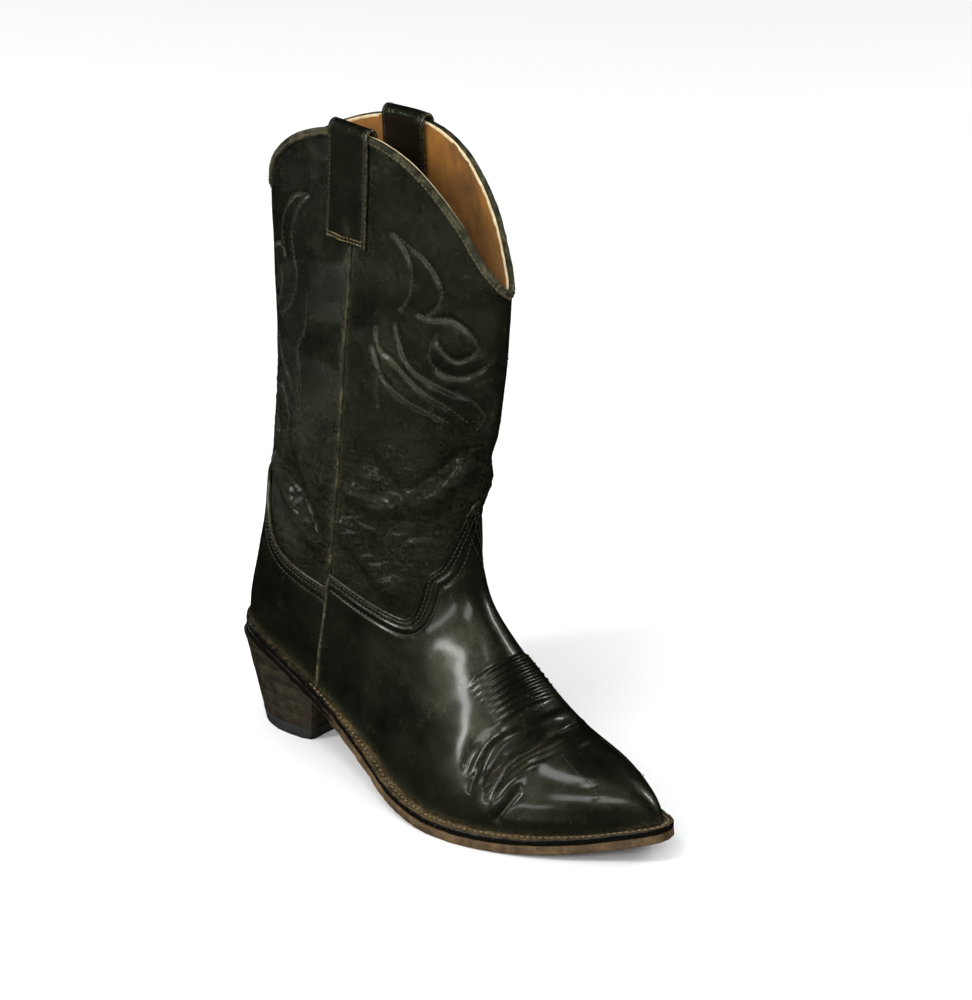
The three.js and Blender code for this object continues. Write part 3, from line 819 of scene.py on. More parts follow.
# Waxed, handled calf of the leg: olive-black, shining in soft cloudy patches; its lighter colour
# patches are partly painted sheen.
leg_leather = black_leather(
    "waxed black calf leather", dark="#080905", light="#14150d", dust="#5c5640",
    roughness=(0.18, 0.36), coat=0.12, coat_roughness=0.14, grain=1.0, shine=(0.2, 0.7),
)
# Straps: the same calf, rubbed smooth and bright by hands.
strap_leather = black_leather(
    "rubbed black calf strap", dark="#0a0b07", light="#14150e", dust="#57503a",
    roughness=(0.16, 0.3), coat=0.5, coat_roughness=0.12, grain=0.5, shine=(0.4, 0.8),
)
# Folded goatskin strips of the binding and side piping: greenish and dusty.
trim_leather = black_leather(
    "dusty black goatskin strip", dark="#10110a", light="#212117", dust="#5f5944",
    roughness=(0.42, 0.58), coat=0.03, coat_roughness=0.35, grain=1.0, shine=(0.12, 0.28),
)


def vegetable_leather(name, dark, light, dirt, roughness, layers=0.0, dirt_share=0.5):
    """Undyed vegetable-tanned leather with fibre mottling, grime and, on a cut
    edge, the thin layers that cutting and pressing leave."""
    material, tree, shader = new_material(name, IOR=1.48)
    start_place(tree)
    tone = mixed(tree, ramp(tree, noise(tree, 14, 5, 0.65), 0.34, 0.68), colour(dark), colour(light))
    grime = times(tree, ramp(tree, noise(tree, 5, 5, 0.7), 0.4, 0.66), dirt_share)
    tone = mixed(tree, grime, tone, colour(dirt))
    tree.links.new(tone, shader.inputs["Base Color"])
    rough = ramp(tree, noise(tree, 9, 3, 0.5), 0.3, 0.7, roughness - 0.1, roughness + 0.1)
    tree.links.new(rough, shader.inputs["Roughness"])
    fibre = noise(tree, 0.9, 4, 0.7)
    heights = [(fibre, 0.2, 0.5)]
    if layers:
        edge = noise(tree, layers, 2, 0.5, stretched(tree, (0.06, 0.06, 1)))
        heights.append((edge, 0.3, 0.7))
    bump(tree, shader, heights)
    return material


def suede(name, dark, light, stain):
    """Napped lining leather: matt, with a soft sheen at grazing angles and
    darker handled areas."""
    material, tree, shader = new_material(
        name, Sheen_Weight=0.35, Sheen_Roughness=0.5, Sheen_Tint=colour("#e8b878")
    )
    start_place(tree)
    tone = mixed(tree, ramp(tree, noise(tree, 24, 4, 0.6), 0.34, 0.66), colour(dark), colour(light))
    rubs = ramp(tree, noise(tree, 9, 5, 0.7, stretched(tree, (1, 1, 0.45))), 0.5, 0.72, 0, 0.6)
    tree.links.new(mixed(tree, rubs, tone, colour(stain)), shader.inputs["Base Color"])
    tree.links.new(
        ramp(tree, noise(tree, 12, 3, 0.5), 0.3, 0.7, 0.72, 0.92), shader.inputs["Roughness"]
    )
    bump(tree, shader, [(noise(tree, 0.8, 4, 0.75), 0.25, 0.6), (noise(tree, 5, 3, 0.5), 0.4, 0.3)])
    return material


lining_leather = suede("tan suede lining", "#5c3706", "#94601a", "#3a2004")
sock_leather = suede("smooth tan sock leather", "#a06c2c", "#bd8744", "#5c3a12")
cut_edge_leather = vegetable_leather("pale cut lining edge", "#cdb88d", "#e2d3b0", "#9a7d4a", 0.75)
stiffener_leather = vegetable_leather("lasted stiffener leather", "#8a7452", "#a58e68", "#5e4c30", 0.85)
insole_leather = vegetable_leather("shoulder insole leather", "#8f6a3e", "#a98352", "#4c3519", 0.7)


def inked_leather(name, dark, light, dust, gloss):
    """Leather that is bare and grimy where the stored wear is 1, and inked
    black and burnished where it is 0."""
    material, tree, shader = new_material(name, IOR=1.5, Specular_IOR_Level=0.22)
    start_place(tree)
    bare = mixed(tree, ramp(tree, noise(tree, 8, 4, 0.65), 0.36, 0.66), colour(dark), colour(light))
    bare = mixed(tree, ramp(tree, noise(tree, 2.4, 5, 0.7), 0.52, 0.7), bare, colour(dust))
    patchy = ramp(tree, plus(tree, attribute(tree, "wear"), noise(tree, 3, 3, 0.6)), 0.62, 1.05)
    tree.links.new(mixed(tree, patchy, colour("#0c0a07"), bare), shader.inputs["Base Color"])
    tree.links.new(ramp(tree, patchy, 0, 1, gloss, 0.68), shader.inputs["Roughness"])
    bump(tree, shader, [(noise(tree, 2.2, 3, 0.6), 0.3, 0.5), (noise(tree, 0.8, 4, 0.7), 0.15, 0.5)])
    return material


# The welt's top is bare brown under dust, and its edge is inked and burnished.
welt_leather = inked_leather("inked welt leather", "#33291a", "#5a4a2f", "#7d6c49", 0.24)
# The outsole: its forepart is worn back to raw brown leather.
sole_leather = inked_leather("raw bend sole leather", "#3d301f", "#5f4b30", "#261c11", 0.3)
# Lifts of the heel, inked once and now rubbed to a dirty green-brown.
stacked_leather = vegetable_leather(
    "inked stacked heel leather", "#15120c", "#272015", "#3b3423", 0.42, 0.6, 0.6
)


def plain_stuff(name, dark, light, size, roughness, relief, **shader_values):
    """A mottled solid such as rubber, cork, wood or thread."""
    material, tree, shader = new_material(name, **shader_values)
    start_place(tree)
    speckle = noise(tree, size, 4, 0.65)
    tone = mixed(tree, ramp(tree, speckle, 0.36, 0.64), colour(dark), colour(light))
    tree.links.new(tone, shader.inputs["Base Color"])
    rough = ramp(tree, noise(tree, 4 * size, 2, 0.5), 0.3, 0.7, roughness - 0.08, roughness + 0.08)
    tree.links.new(rough, shader.inputs["Roughness"])
    bump(tree, shader, [(speckle, relief, 0.6)])
    return material


# Moulded rubber: dull black, scuffed grey.
heel_rubber = plain_stuff("moulded heel rubber", "#151513", "#242320", 1.2, 0.7, 0.15)
cork = plain_stuff("pressed cork", "#7d5c36", "#b8935c", 1.6, 0.9, 0.3)
spring_steel = plain_stuff("tempered spring steel", "#7b7e83", "#95989d", 6, 0.32, 0.03, Metallic=1.0)
nail_steel = plain_stuff("drawn nail steel", "#86898d", "#a2a5a9", 3, 0.3, 0.03, Metallic=1.0)
peg_wood = plain_stuff("split lemonwood", "#a9824c", "#cfa96c", 1.0, 0.7, 0.1)
# Waxed sewing threads: the leg's is nearly the leather's own colour, the welt's
# is coarser and dirty, and the straps' shows pale, frayed ends.
dark_thread = plain_stuff("waxed olive-black thread", "#15140e", "#2b281c", 0.8, 0.55, 0.08)
binding_thread = plain_stuff("dusty olive thread", "#2f2b1c", "#585037", 0.8, 0.6, 0.08)
row_thread = plain_stuff("waxed brown-black thread", "#1b1910", "#37311f", 0.8, 0.5, 0.08)
welt_thread = plain_stuff("dirty waxed linen thread", "#3d3521", "#776846", 1.0, 0.7, 0.12)
strap_thread = plain_stuff("frayed ochre thread", "#3d3520", "#6b5a35", 0.8, 0.7, 0.1)

# ----------------------------------------------------------- decorative lines

# The stitched leaves and scrolls of the leg, in side view, on both sides.
FRONT_PATTERN = [
    [(125, 313), (136, 308), (146, 304), (155, 295), (158, 287), (155, 278), (148, 272)],
    [(126, 312), (134, 306), (138, 299), (139, 291), (138, 282), (133, 272)],
    [(145, 273), (154, 272), (163, 274), (172, 270), (178, 261), (175, 255), (168, 251),
     (162, 254), (158, 258), (156, 264)],
    [(156, 264), (153, 257), (153, 250), (158, 244), (166, 242), (175, 244), (183, 251)],
    [(131, 265), (135, 255), (142, 244), (153, 238), (164, 234), (174, 231), (179, 225),
     (180, 220), (177, 214)],
    [(119, 261), (122, 250), (131, 246), (141, 238), (153, 230), (164, 225), (173, 218)],
    [(118, 250), (123, 240), (129, 232), (141, 225), (154, 221), (164, 217)],
    [(123, 236), (122, 226), (124, 218)],
    [(144, 154), (137, 153), (129, 146), (127, 137), (131, 130), (138, 126)],
    [(151, 147), (146, 146), (140, 144), (136, 139), (136, 133), (140, 129)],
]
BACK_PATTERN = [
    [(54, 317), (45, 315), (39, 311), (31, 302), (27, 289), (31, 277)],
    [(54, 317), (48, 311), (44, 306), (39, 291), (44, 278), (48, 267), (42, 252), (26, 241)],
    [(31, 277), (24, 281), (15, 277)],
    [(24, 267), (28, 262), (26, 252), (15, 245)],
    [(60, 263), (60, 250), (58, 239), (52, 233), (57, 221), (60, 206), (60, 190), (56, 183)],
    [(36, 205), (25, 199), (21, 191), (28, 185), (40, 180)],
    [(36, 205), (45, 199), (50, 190), (48, 182)],
    [(26, 224), (36, 217), (46, 212), (52, 208)],
]
ROW_GAPS = (2.1, 4.5, 9.2)  # rows of stitches below the edge of vamp and counter
GROOVE_DEPTH, GROOVE_WIDTH = 0.75, 1.45


def pattern_places():
    """Every stitched line of the leg, as places, front panel then back panel."""
    found = {}
    for panel, lines in (("front", FRONT_PATTERN), ("back", BACK_PATTERN)):
        found[panel] = []
        for side in (OUTER, INNER):
            for line in lines:
                x, z = smooth_line(line, 12 * len(line)).T
                tu = side_places(x, z, side)[0]
                found[panel].append(resample(tu, np.linspace(0, 1, 60)))
    return found


pattern = pattern_places()
vamp_edge = across(lambda side: cut_half(VAMP_TOP, side, SEAM_GAP), np.linspace(0, 1, 200))
counter_edge = across(
    lambda side: cut_half(COUNTER_TOP, side, -SEAM_GAP), np.linspace(0, 1, 140), behind=True
)


def rows_below(edge, sign):
    """Rows of stitches that follow an edge at the usual gaps."""
    return [beside(edge, sign * gap) for gap in ROW_GAPS]


def below_sign(edge):
    """Which way along the form lies below an edge line."""
    lower = on_form(beside(edge, 3))[:, 2].mean()
    return 1 if lower < on_form(edge)[:, 2].mean() else -1


vamp_rows = rows_below(vamp_edge, below_sign(vamp_edge))
counter_rows = rows_below(counter_edge, below_sign(counter_edge))

# Raised corded wrinkles across the instep, between a first and a last line.
FIRST_WRINKLE = [(191, -26, 74), (193, -20, 80), (196, -12, 84), (198, -3, 86), (197, 8, 85),
                 (194, 18, 77)]
LAST_WRINKLE = [(210, -29, 58), (212, -21, 63), (214, -12, 66), (216, -2, 68), (215, 8, 66),
                (212, 17, 60)]
WRINKLES = 8
WRINKLE_HEIGHT, WRINKLE_WIDTH = 1.35, 1.15
DIAMOND = [(213, -7, 70), (217, 1, 67), (221, -4, 64), (217, -12, 66), (213, -7, 70)]
TOE_SEAM = [(246, -13, 49), (252, -14, 46.5), (259, -14, 43), (267, -13, 38.5), (273, -13, 34)]
TOE_SIDE = [(229, -46, 18), (240, -40, 18), (252, -33, 19), (265, -23, 20), (279, -12, 21)]
FLEX_CREASES = [
    [(225, -38, 37), (229, -30, 44), (234, -22, 49), (239, -12, 51), (240, -3, 53)],
    [(229, -37, 33), (233, -28, 42), (239, -19, 47), (243, -10, 50)],
    [(227, -12, 57), (232, -6, 56), (236, 3, 55), (234, 12, 52)],
    [(222, -42, 33), (226, -33, 44), (231, -20, 51), (236, -8, 54)],
    [(219, -45, 30), (221, -38, 41), (224, -30, 48)],
    [(205, -48, 36), (206, -42, 46), (209, -36, 53)],
    [(212, -50, 26), (212, -45, 36), (214, -39, 44)],
    [(230, -44, 18), (234, -38, 26), (238, -32, 33)],
    [(236, 22, 44), (233, 28, 36), (230, 33, 27)],
    [(231, 25, 44), (228, 31, 36), (225, 36, 26)],
]


def wrinkle_lines():
    """The wrinkles as lines on the form, evenly spaced."""
    first, last = np.array(FIRST_WRINKLE, float), np.array(LAST_WRINKLE, float)
    return [space_trace(first + (last - first) * k / (WRINKLES - 1)) for k in range(WRINKLES)]


def mirrored(line):
    """A line in space carried to the inner side."""
    return [(x, -0.85 * y + 4, z) for x, y, z in line]


wrinkles = wrinkle_lines()
flex_creases = [space_trace(line) for line in FLEX_CREASES]
toe_side = space_trace(TOE_SIDE)
diamond = nearest_places(smooth_line(DIAMOND, 5))
toe_seams = [nearest_places(smooth_line(line, 40)) for line in (TOE_SEAM, mirrored(TOE_SEAM))]
GROOVE_STEP = 4  # keeps every so many points of a stitched line for its groove


def groove_lines(places, depth=GROOVE_DEPTH, width=GROOVE_WIDTH):
    """Grooves that stitches sit in."""
    return [(on_form(tu[::GROOVE_STEP]), -depth, width) for tu in places]


# ------------------------------------------------------------ relief of pieces


def collar_relief(gaps):
    """The cover stands higher where the leg panel ends under it."""
    from_top = gaps[1]
    return COLLAR_RISE * blend(PANEL_UNDER_COVER + COLLAR_SLOPE / 2 - from_top, 0, COLLAR_SLOPE)


def uneven(points, seed):
    """The slight waviness of leather drawn over a last: broad, and finer."""
    return 0.1 * ripple(points, 34, seed) + 0.04 * ripple(points, 13, seed + 1)


def vamp_relief(points, gaps):
    """Collar, rows of stitches, corded wrinkles and the creases of walking."""
    lift = collar_relief(gaps)
    lift += marks(points, groove_lines(vamp_rows, 0.55, 1.0))
    lift += marks(points, [(line, WRINKLE_HEIGHT, WRINKLE_WIDTH) for line in wrinkles], 0.14)
    band = marks(points, [(line, 0.3, 2.6) for line in wrinkles], 0.15)
    lift -= np.minimum(band, 0.6)
    lift += marks(points, [(on_form(line), 0.4, 1.3) for line in toe_seams])
    lift += marks(points, groove_lines(toe_seams, 0.45, 0.6))
    lift += marks(points, [(on_form(diamond), -0.6, 0.8)])
    lift += marks(points, [(line, -0.75, 1.1) for line in flex_creases], 0.3)
    lift += marks(points, [(toe_side, 0.35, 2.6)], 0.3)
    return lift + uneven(points, 3)


def counter_relief(points, gaps):
    """Collar and rows of stitches at the heel."""
    lift = collar_relief(gaps) + marks(points, groove_lines(counter_rows, 0.55, 1.0))
    return lift + uneven(points, 5)


def ankle(points):
    """How much the leather crinkles: most at the ankle, least up the leg."""
    z = points[..., 2]
    return np.clip((232 - z) / 50, 0, 1) * np.clip((z - 96) / 24, 0, 1)


def crinkles(points):
    """How finely creased the leg's leather is: all round the ankle, and in a
    few patches higher up."""
    patches = np.clip(ripple(points, 70, 22) - 0.6, 0, 0.5)
    return ankle(points) * (0.8 + 0.3 * ripple(points, 26, 23)) + patches


def vamp_crinkles(points):
    """Fine creases beside the folds where the foot bends."""
    lines = [(line, 0.35, 4.0) for line in flex_creases]
    return np.clip(marks(points, lines, 0.3), 0, 0.45)


def panel_relief(lines):
    """Leg panel: quilting between the stitched lines, and crinkled leather."""

    def relief(points, gaps):
        lift = marks(points, groove_lines(lines))
        lift += 0.22 * ripple(points, 52, 7) + 0.09 * ripple(points, 17, 8)
        crinkle = 0.34 * np.abs(ripple(points, 10, 9, (0.45, 0.45, 1.5)))
        crinkle += 0.22 * np.abs(ripple(points, 4.5, 10, (0.5, 0.5, 1.5)))
        return lift + (crinkle - 0.35) * (0.1 + 0.9 * ankle(points))

    return relief


def cover_wear(points, gaps):
    """Dust gathers at the welt, and the top edge rubs pale."""
    bottom, top = gaps[0], gaps[1]
    dust = np.exp(-bottom / 2.2) * 0.8
    edge = np.exp(-top / 1.2) * 0.5
    return np.clip(dust + edge, 0, 1)


def vamp_wear(points, gaps):
    """As cover_wear, with pale dust in the creases where the foot bends."""
    creases = marks(points, [(line, 0.8, 0.6) for line in flex_creases], 0.3)
    return np.clip(cover_wear(points, gaps) + creases, 0, 1)


def panel_wear(lines):
    """Edges at the seams and the threads' holes rub pale, and so does the ankle."""

    def wear(points, gaps):
        edge = np.exp(-np.minimum(gaps[2], gaps[3]) / 1.6) * 0.55
        holes = marks(points, [(on_form(tu[::GROOVE_STEP]), 0.18, 1.1) for tu in lines])
        return np.clip(edge + holes + 0.16 * ankle(points), 0, 1)

    return wear


# --------------------------------------------------------- the upper's pieces

# Nets of the leathers: rows, columns of one side, and rough height and width.
VAMP_NET = (301, 145, 130, 190)
COUNTER_NET = (109, 101, 85, 100)
FRONT_PANEL_NET = (261, 121, 230, 115)
BACK_PANEL_NET = (261, 101, 225, 100)
VAMP_LINING_NET = (65, 41, 130, 190)
FRONT_LINING_NET = (177, 77, 230, 115)
BACK_LINING_NET = (225, 77, 300, 100)
WRINKLE_BAND = (0.51, 0.69, 1.5)  # shares of the vamp's height with closer rows
LINING_DROP = 0.8  # the lining's cut edge, below the top edge
PANEL_DROP = 1.2  # the leg panels end inside the binding


def fill(bottom_of, top_of, gap, size, close=None):
    """A net between two half-line makers, with closer steps at its edges and,
    if asked, between two shares of its height."""
    rows, half_columns, height, width = size
    row_shares = edge_steps(rows, height)
    if close:
        row_shares = packed(row_shares, *close)
    columns = edge_steps(half_columns, width, both=False)
    behind = gap < 0
    bottom, top = across(bottom_of, columns, behind), across(top_of, columns, behind)
    return net(bottom, top, gap, row_shares, columns)


def seam_seat_x(gap):
    """x where the side seam stands on the seat."""
    z = 50.0
    for _ in range(30):
        z = float(seat_height(seam_x(z) + gap))
    return float(seam_x(z) + gap)


def make_covers():
    """Vamp and counter, in polished leather."""
    vamp = fill(
        lambda side: seat_half(side, seam_seat_x(SEAM_GAP), TOE_X),
        lambda side: cut_half(VAMP_TOP, side, SEAM_GAP),
        SEAM_GAP, VAMP_NET, WRINKLE_BAND,
    )
    leather(
        "vamp_leather", vamp, COVER, glossy_leather, "glossy_upper", ["vamp"], vamp_relief, vamp_wear,
        vamp_crinkles,
    )
    counter = fill(
        lambda side: seat_half(side, seam_seat_x(-SEAM_GAP), HEEL_X),
        lambda side: cut_half(COUNTER_TOP, side, -SEAM_GAP),
        -SEAM_GAP, COUNTER_NET,
    )
    leather(
        "counter_leather", counter, COVER, glossy_leather, "glossy_upper", ["counter"],
        counter_relief, cover_wear,
    )


def make_panels():
    """Front and back panels of the leg."""
    under = PANEL_UNDER_COVER
    front = fill(
        lambda side: cut_half(VAMP_TOP, side, SEAM_GAP, (under, -under)),
        lambda side: cut_half(TOP_EDGE, side, SEAM_GAP, (0, -PANEL_DROP)),
        SEAM_GAP, FRONT_PANEL_NET,
    )
    leather(
        "front_leg_panel", front, PANEL, leg_leather, "leg_leather", ["shaft_front"],
        panel_relief(pattern["front"]), panel_wear(pattern["front"]), crinkles,
    )
    back = fill(
        lambda side: cut_half(COUNTER_TOP, side, -SEAM_GAP, (-under, -under)),
        lambda side: cut_half(TOP_EDGE, side, -SEAM_GAP, (0, -PANEL_DROP)),
        -SEAM_GAP, BACK_PANEL_NET,
    )
    leather(
        "back_leg_panel", back, PANEL, leg_leather, "leg_leather", ["shaft_back"],
        panel_relief(pattern["back"]), panel_wear(pattern["back"]), crinkles,
    )


TOE_BOX_START, STIFFENER_FRONT, STIFFENER_TOP = 240, 78, 92


def loose_net(bottom, top, row_shares):
    """A net between two lines with straight sides."""
    r = row_shares[:, None, None]
    return (1 - r) * bottom[None] + r * top[None]


def make_stiffeners():
    """Toe box and heel stiffener, hidden between the cover and the lining."""
    shares, rows = np.linspace(0, 1, 33), np.linspace(0, 1, 25)

    def toe_line(side):
        z = np.linspace(float(seat_height(TOE_BOX_START)), 80, 200)
        tu, place = side_places(np.full(200, TOE_BOX_START), z, side, FOOT_START)
        return tu[: np.argmax(place <= 0) + 1]

    def heel_line(side):
        x = np.linspace(STIFFENER_FRONT, -10, 200)
        tu, place = side_places(x, np.full(200, STIFFENER_TOP), side, FOOT_START)
        return tu[: np.argmax(place >= 1) + 1]

    bottom = across(lambda side: seat_half(side, TOE_BOX_START, TOE_X - 0.5), shares)
    toe = loose_net(bottom, across(toe_line, shares), rows)
    leather("toe_box_leather", toe, PANEL, stiffener_leather, "stiffener_leather", ["toe_box"])
    bottom = across(lambda side: seat_half(side, STIFFENER_FRONT, HEEL_X), shares, behind=True)
    heel = loose_net(bottom, across(heel_line, shares, behind=True), rows)
    leather(
        "heel_stiffener_leather", heel, PANEL, stiffener_leather, "stiffener_leather",
        ["heel_stiffener"],
    )


def make_linings():
    """Linings of the foot and the leg, and the leg lining's pale cut edge."""
    foot = fill(
        lambda side: seat_half(side, seam_seat_x(SEAM_GAP), TOE_X - 1),
        lambda side: cut_half(VAMP_TOP, side, SEAM_GAP, (0, -1)),
        SEAM_GAP, VAMP_LINING_NET,
    )
    leather("vamp_lining_leather", foot, LINING, lining_leather, "lining_leather", ["vamp_lining"])
    front = fill(
        lambda side: cut_half(VAMP_TOP, side, LINING_SEAM_GAP),
        lambda side: cut_half(TOP_EDGE, side, LINING_SEAM_GAP, (0, -LINING_DROP)),
        LINING_SEAM_GAP, FRONT_LINING_NET,
    )
    back = fill(
        lambda side: seat_half(side, seam_seat_x(-LINING_SEAM_GAP), HEEL_X),
        lambda side: cut_half(TOP_EDGE, side, -LINING_SEAM_GAP, (0, -LINING_DROP)),
        -LINING_SEAM_GAP, BACK_LINING_NET,
    )
    for name, places, node in (
        ("front_leg_lining", front, "shaft_lining_front"),
        ("back_leg_lining", back, "shaft_lining_back"),
    ):
        leather(name, places, LINING, lining_leather, "lining_leather", [node])


def top_loop(count=520):
    """The top edge all round, as places from the back by the outer side."""
    halves = []
    for side in (OUTER, INNER):
        x, z = smooth_line(TOP_EDGE, 600).T
        tu, place = side_places(x, z, side)
        inside = (place > 0) & (place < 1)
        first, last = np.argmax(inside) - 1, len(x) - np.argmax(inside[::-1])
        halves.append(tu[first : last + 1])
    outer, inner = halves
    return np.vstack([resample(outer, np.linspace(0, 1, count // 2 + 1))[:-1],
                      resample(inner[::-1], np.linspace(0, 1, count // 2 + 1))[:-1]])


BINDING_HEIGHT = 4.6
BINDING_LAYER = (0.95, -1.95)
CUT_EDGE_LAYER = (-2.05, -3.35)


def make_top_edge():
    """The folded binding round the leg's top, and the lining's cut edge."""
    places = top_loop()
    outs = unit(read_form("normals", places))
    for name, layer, drop, height, material, slot, node in (
        ("top_edge_binding", BINDING_LAYER, 0.0, BINDING_HEIGHT, trim_leather, "trim_leather",
         ["top_binding"]),
        ("lining_cut_edge", CUT_EDGE_LAYER, 0.5, 1.8, cut_edge_leather, "lining_leather", []),
    ):
        width = layer[0] - layer[1]
        path = on_form(places, sum(layer) / 2)
        profile = np.array(rounded_box(height, width, min(width / 2 - 0.05, 1.2)))
        rings = sweep_points(path, outs, profile, closed=True)
        top_side = rings[:, :, 2].max(axis=1)
        shift = path[:, 2] - drop - top_side
        rings[:, :, 2] += shift[:, None]
        rings += outs[:, None] * (0.12 * ripple(rings, 6, 12))[..., None]
        lofted(name, rings, material, slot, node, closed=True,
               attributes={"wear": np.clip(0.35 + 0.3 * ripple(rings, 9, 13), 0, 1).ravel()})


PIPING_TOP = 354
COVER_AT_SEAM = 112  # height where the piping steps out over the vamp and counter
PIPING_SUNK, PIPING_STEP, PIPING_SLOPE = 0.45, 1.75, 8


def make_piping():
    """A cord of folded leather down each side seam."""
    for name, side, node in (
        ("outer_side_piping", OUTER, "side_piping_outer"),
        ("inner_side_piping", INNER, "side_piping_inner"),
    ):
        x, z = smooth_line(SIDE_SEAM, 500).T
        inside = (z > seat_height(x) + 0.4) & (z < PIPING_TOP)
        tu = resample(side_places(x[inside], z[inside], side)[0], np.linspace(0, 1, 260))
        below = COVER_AT_SEAM - on_form(tu)[:, 2]
        path = on_form(tu, PIPING_STEP * blend(below, 0, PIPING_SLOPE) - PIPING_SUNK)
        rings = sweep_points(path, unit(read_form("normals", tu)), rounded_box(2.0, 2.6, 0.95), False)
        rings += 0.08 * ripple(rings, 5, 14)[..., None]
        worn = np.clip(0.3 + 0.35 * ripple(rings, 11, 15), 0, 1).ravel()
        lofted(name, rings, trim_leather, "trim_leather", [node], attributes={"wear": worn})


# ----------------------------------------------------------------- pull straps

STRAP = {"middle": 92, "half": 15.5, "low": 300, "spring": 355, "top": 365, "thick": 2.0}
STRAP_OUTSIDE = 1.3  # from the panel's outer face to the strap's middle
STRAP_INSIDE = -5.3
STRAP_LEAN = 2.5  # how far the loop leans to the back by its top
STRAP_BULGE = 2.2
STRAP_EDGE = 2.1  # from the strap's edge to its row of stitches
STRAP_COLUMNS = 34


def strap_path(side, across_x, steps=140):
    """Middle line of a strap at a distance across it: up, over and down."""
    z = np.linspace(STRAP["low"], STRAP["spring"], 24)
    lean = STRAP_LEAN * (z - STRAP["low"]) / (STRAP["top"] - STRAP["low"])
    tu = side_places(STRAP["middle"] + across_x - lean, z, side)[0]
    out, back = on_form(tu, STRAP_OUTSIDE), on_form(tu, STRAP_INSIDE)[::-1]
    start, end = out[-1], back[0]
    angle = np.linspace(0, np.pi, 26)[1:-1]
    half = (start[1] - end[1]) / 2
    wide = half + side * STRAP_BULGE * np.sin(angle)
    rise = STRAP["top"] - STRAP["thick"] / 2 - (start[2] + end[2]) / 2
    arch = np.stack([
        start[0] + (end[0] - start[0]) * angle / np.pi,
        start[1] - half + wide * np.cos(angle),
        (start[2] + end[2]) / 2 + rise * np.sin(angle),
    ], axis=1)
    line = np.vstack([out, arch, back])
    length = np.concatenate([[0], np.cumsum(np.linalg.norm(np.diff(line, axis=0), axis=1))])
    even = np.linspace(0, length[-1], steps)
    line = np.stack([np.interp(even, length, line[:, k]) for k in range(3)], axis=1)
    return soften(line, 2)


def strap_sheet(side):
    """Middle points of a strap as a grid along and across, and its outward way."""
    shares = np.concatenate([[-1, -0.985, -0.95], np.linspace(-0.9, 0.9, STRAP_COLUMNS - 6),
                             [0.95, 0.985, 1]])
    points = np.stack([strap_path(side, s * STRAP["half"]) for s in shares], axis=1)
    ahead, aside = np.gradient(points, axis=0), np.gradient(points, axis=1)
    return shares, points, unit(np.cross(ahead, aside)) * side


def strap_bump(points):
    """Where the side piping ends under the strap's foot."""
    gap = np.linalg.norm((points[..., [0, 2]] - [91, 305]) / [4.2, 7.5], axis=-1)
    return 1.3 * np.exp(-(gap**2))


def make_straps():
    """Pull straps: one band up the outside, over the edge and down inside."""
    for name, side, node in (
        ("outer_pull_strap", OUTER, "pull_strap_outer"),
        ("inner_pull_strap", INNER, "pull_strap_inner"),
    ):
        shares, middle, outs = strap_sheet(side)
        from_edge = (1 - np.abs(shares)) * STRAP["half"]
        groove = -0.3 * np.exp(-(((from_edge - STRAP_EDGE) / 0.8) ** 2))
        round_over = -0.5 * np.clip(1 - from_edge / 0.9, 0, 1) ** 2
        lift = STRAP["thick"] / 2 + groove + round_over
        relief = 0.14 * ripple(middle, 22, 16)
        bumped = strap_bump(middle) * (outs[..., 1] * side > 0.5)
        top = middle + outs * (lift + relief + bumped)[..., None]
        low = middle - outs * (STRAP["thick"] / 2 + round_over - relief)[..., None]
        rings = np.concatenate([top, low[:, ::-1]], axis=1)
        worn = np.exp(-np.concatenate([from_edge, from_edge[::-1]]) / 1.3)
        worn = np.broadcast_to(0.5 * worn, rings.shape[:2]).ravel()
        lofted(name, rings, strap_leather, "glossy_upper", [node], attributes={"wear": worn})


# ------------------------------------------------------------- under the foot

WELT_THICK, WELT_INSET, WELT_BACK, GAP = 3.4, 4, 76, 0.3
OUTSOLE_TOP = -WELT_THICK - GAP
OUTLINE_STEPS = 640
TOP_RINGS = 6  # rings of the welt that lie on its top face
CHANNEL = 0.42  # where the welt's stitches run, as a share of its shown width
CHANNEL_HALF, CHANNEL_DEPTH = 0.17, 0.35


def overhang(x):
    """How far the welt stands out beyond the upper."""
    return 2.2 + 4.3 * blend(x, 70, 150) - blend(x, 230, 290)


def seat_loop(outward, count=OUTLINE_STEPS):
    """Where a layer meets the seat, in plan: heel, outer side, toe, inner side."""
    halves = [on_form(seat_half(side, HEEL_X, TOE_X, 400), outward) for side in (OUTER, INNER)]
    loop = np.vstack([halves[0], halves[1][::-1][1:-1]])[:, :2]
    closed = np.vstack([loop, loop[:1]])
    length = np.concatenate([[0], np.cumsum(np.linalg.norm(np.diff(closed, axis=0), axis=1))])
    half = length[len(halves[0]) - 1]
    even = np.concatenate([
        np.linspace(0, half, count // 2 + 1)[:-1],
        np.linspace(half, length[-1], count // 2 + 1)[:-1],
    ])
    loop = np.stack([np.interp(even, length, closed[:, k]) for k in range(2)], axis=1)
    return round_off(loop, 3)


def round_off(loop, sigma):
    """Blurs a closed plan outline, which takes small corners off it."""
    reach = np.arange(-3 * sigma, 3 * sigma + 1)
    weights = np.exp(-0.5 * (reach / sigma) ** 2)
    return sum(w * np.roll(loop, int(k), axis=0) for w, k in zip(weights, reach)) / weights.sum()


def grown(loop, distance):
    """A closed plan outline moved outward; it runs against the clock."""
    ahead = np.roll(loop, -1, axis=0) - np.roll(loop, 1, axis=0)
    ahead /= np.linalg.norm(ahead, axis=1, keepdims=True)
    out = np.stack([ahead[:, 1], -ahead[:, 0]], axis=1)
    return loop + out * np.broadcast_to(distance, len(loop))[:, None]


feather = seat_loop(COVER[0])
sole_line = grown(feather, overhang(feather[:, 0]))


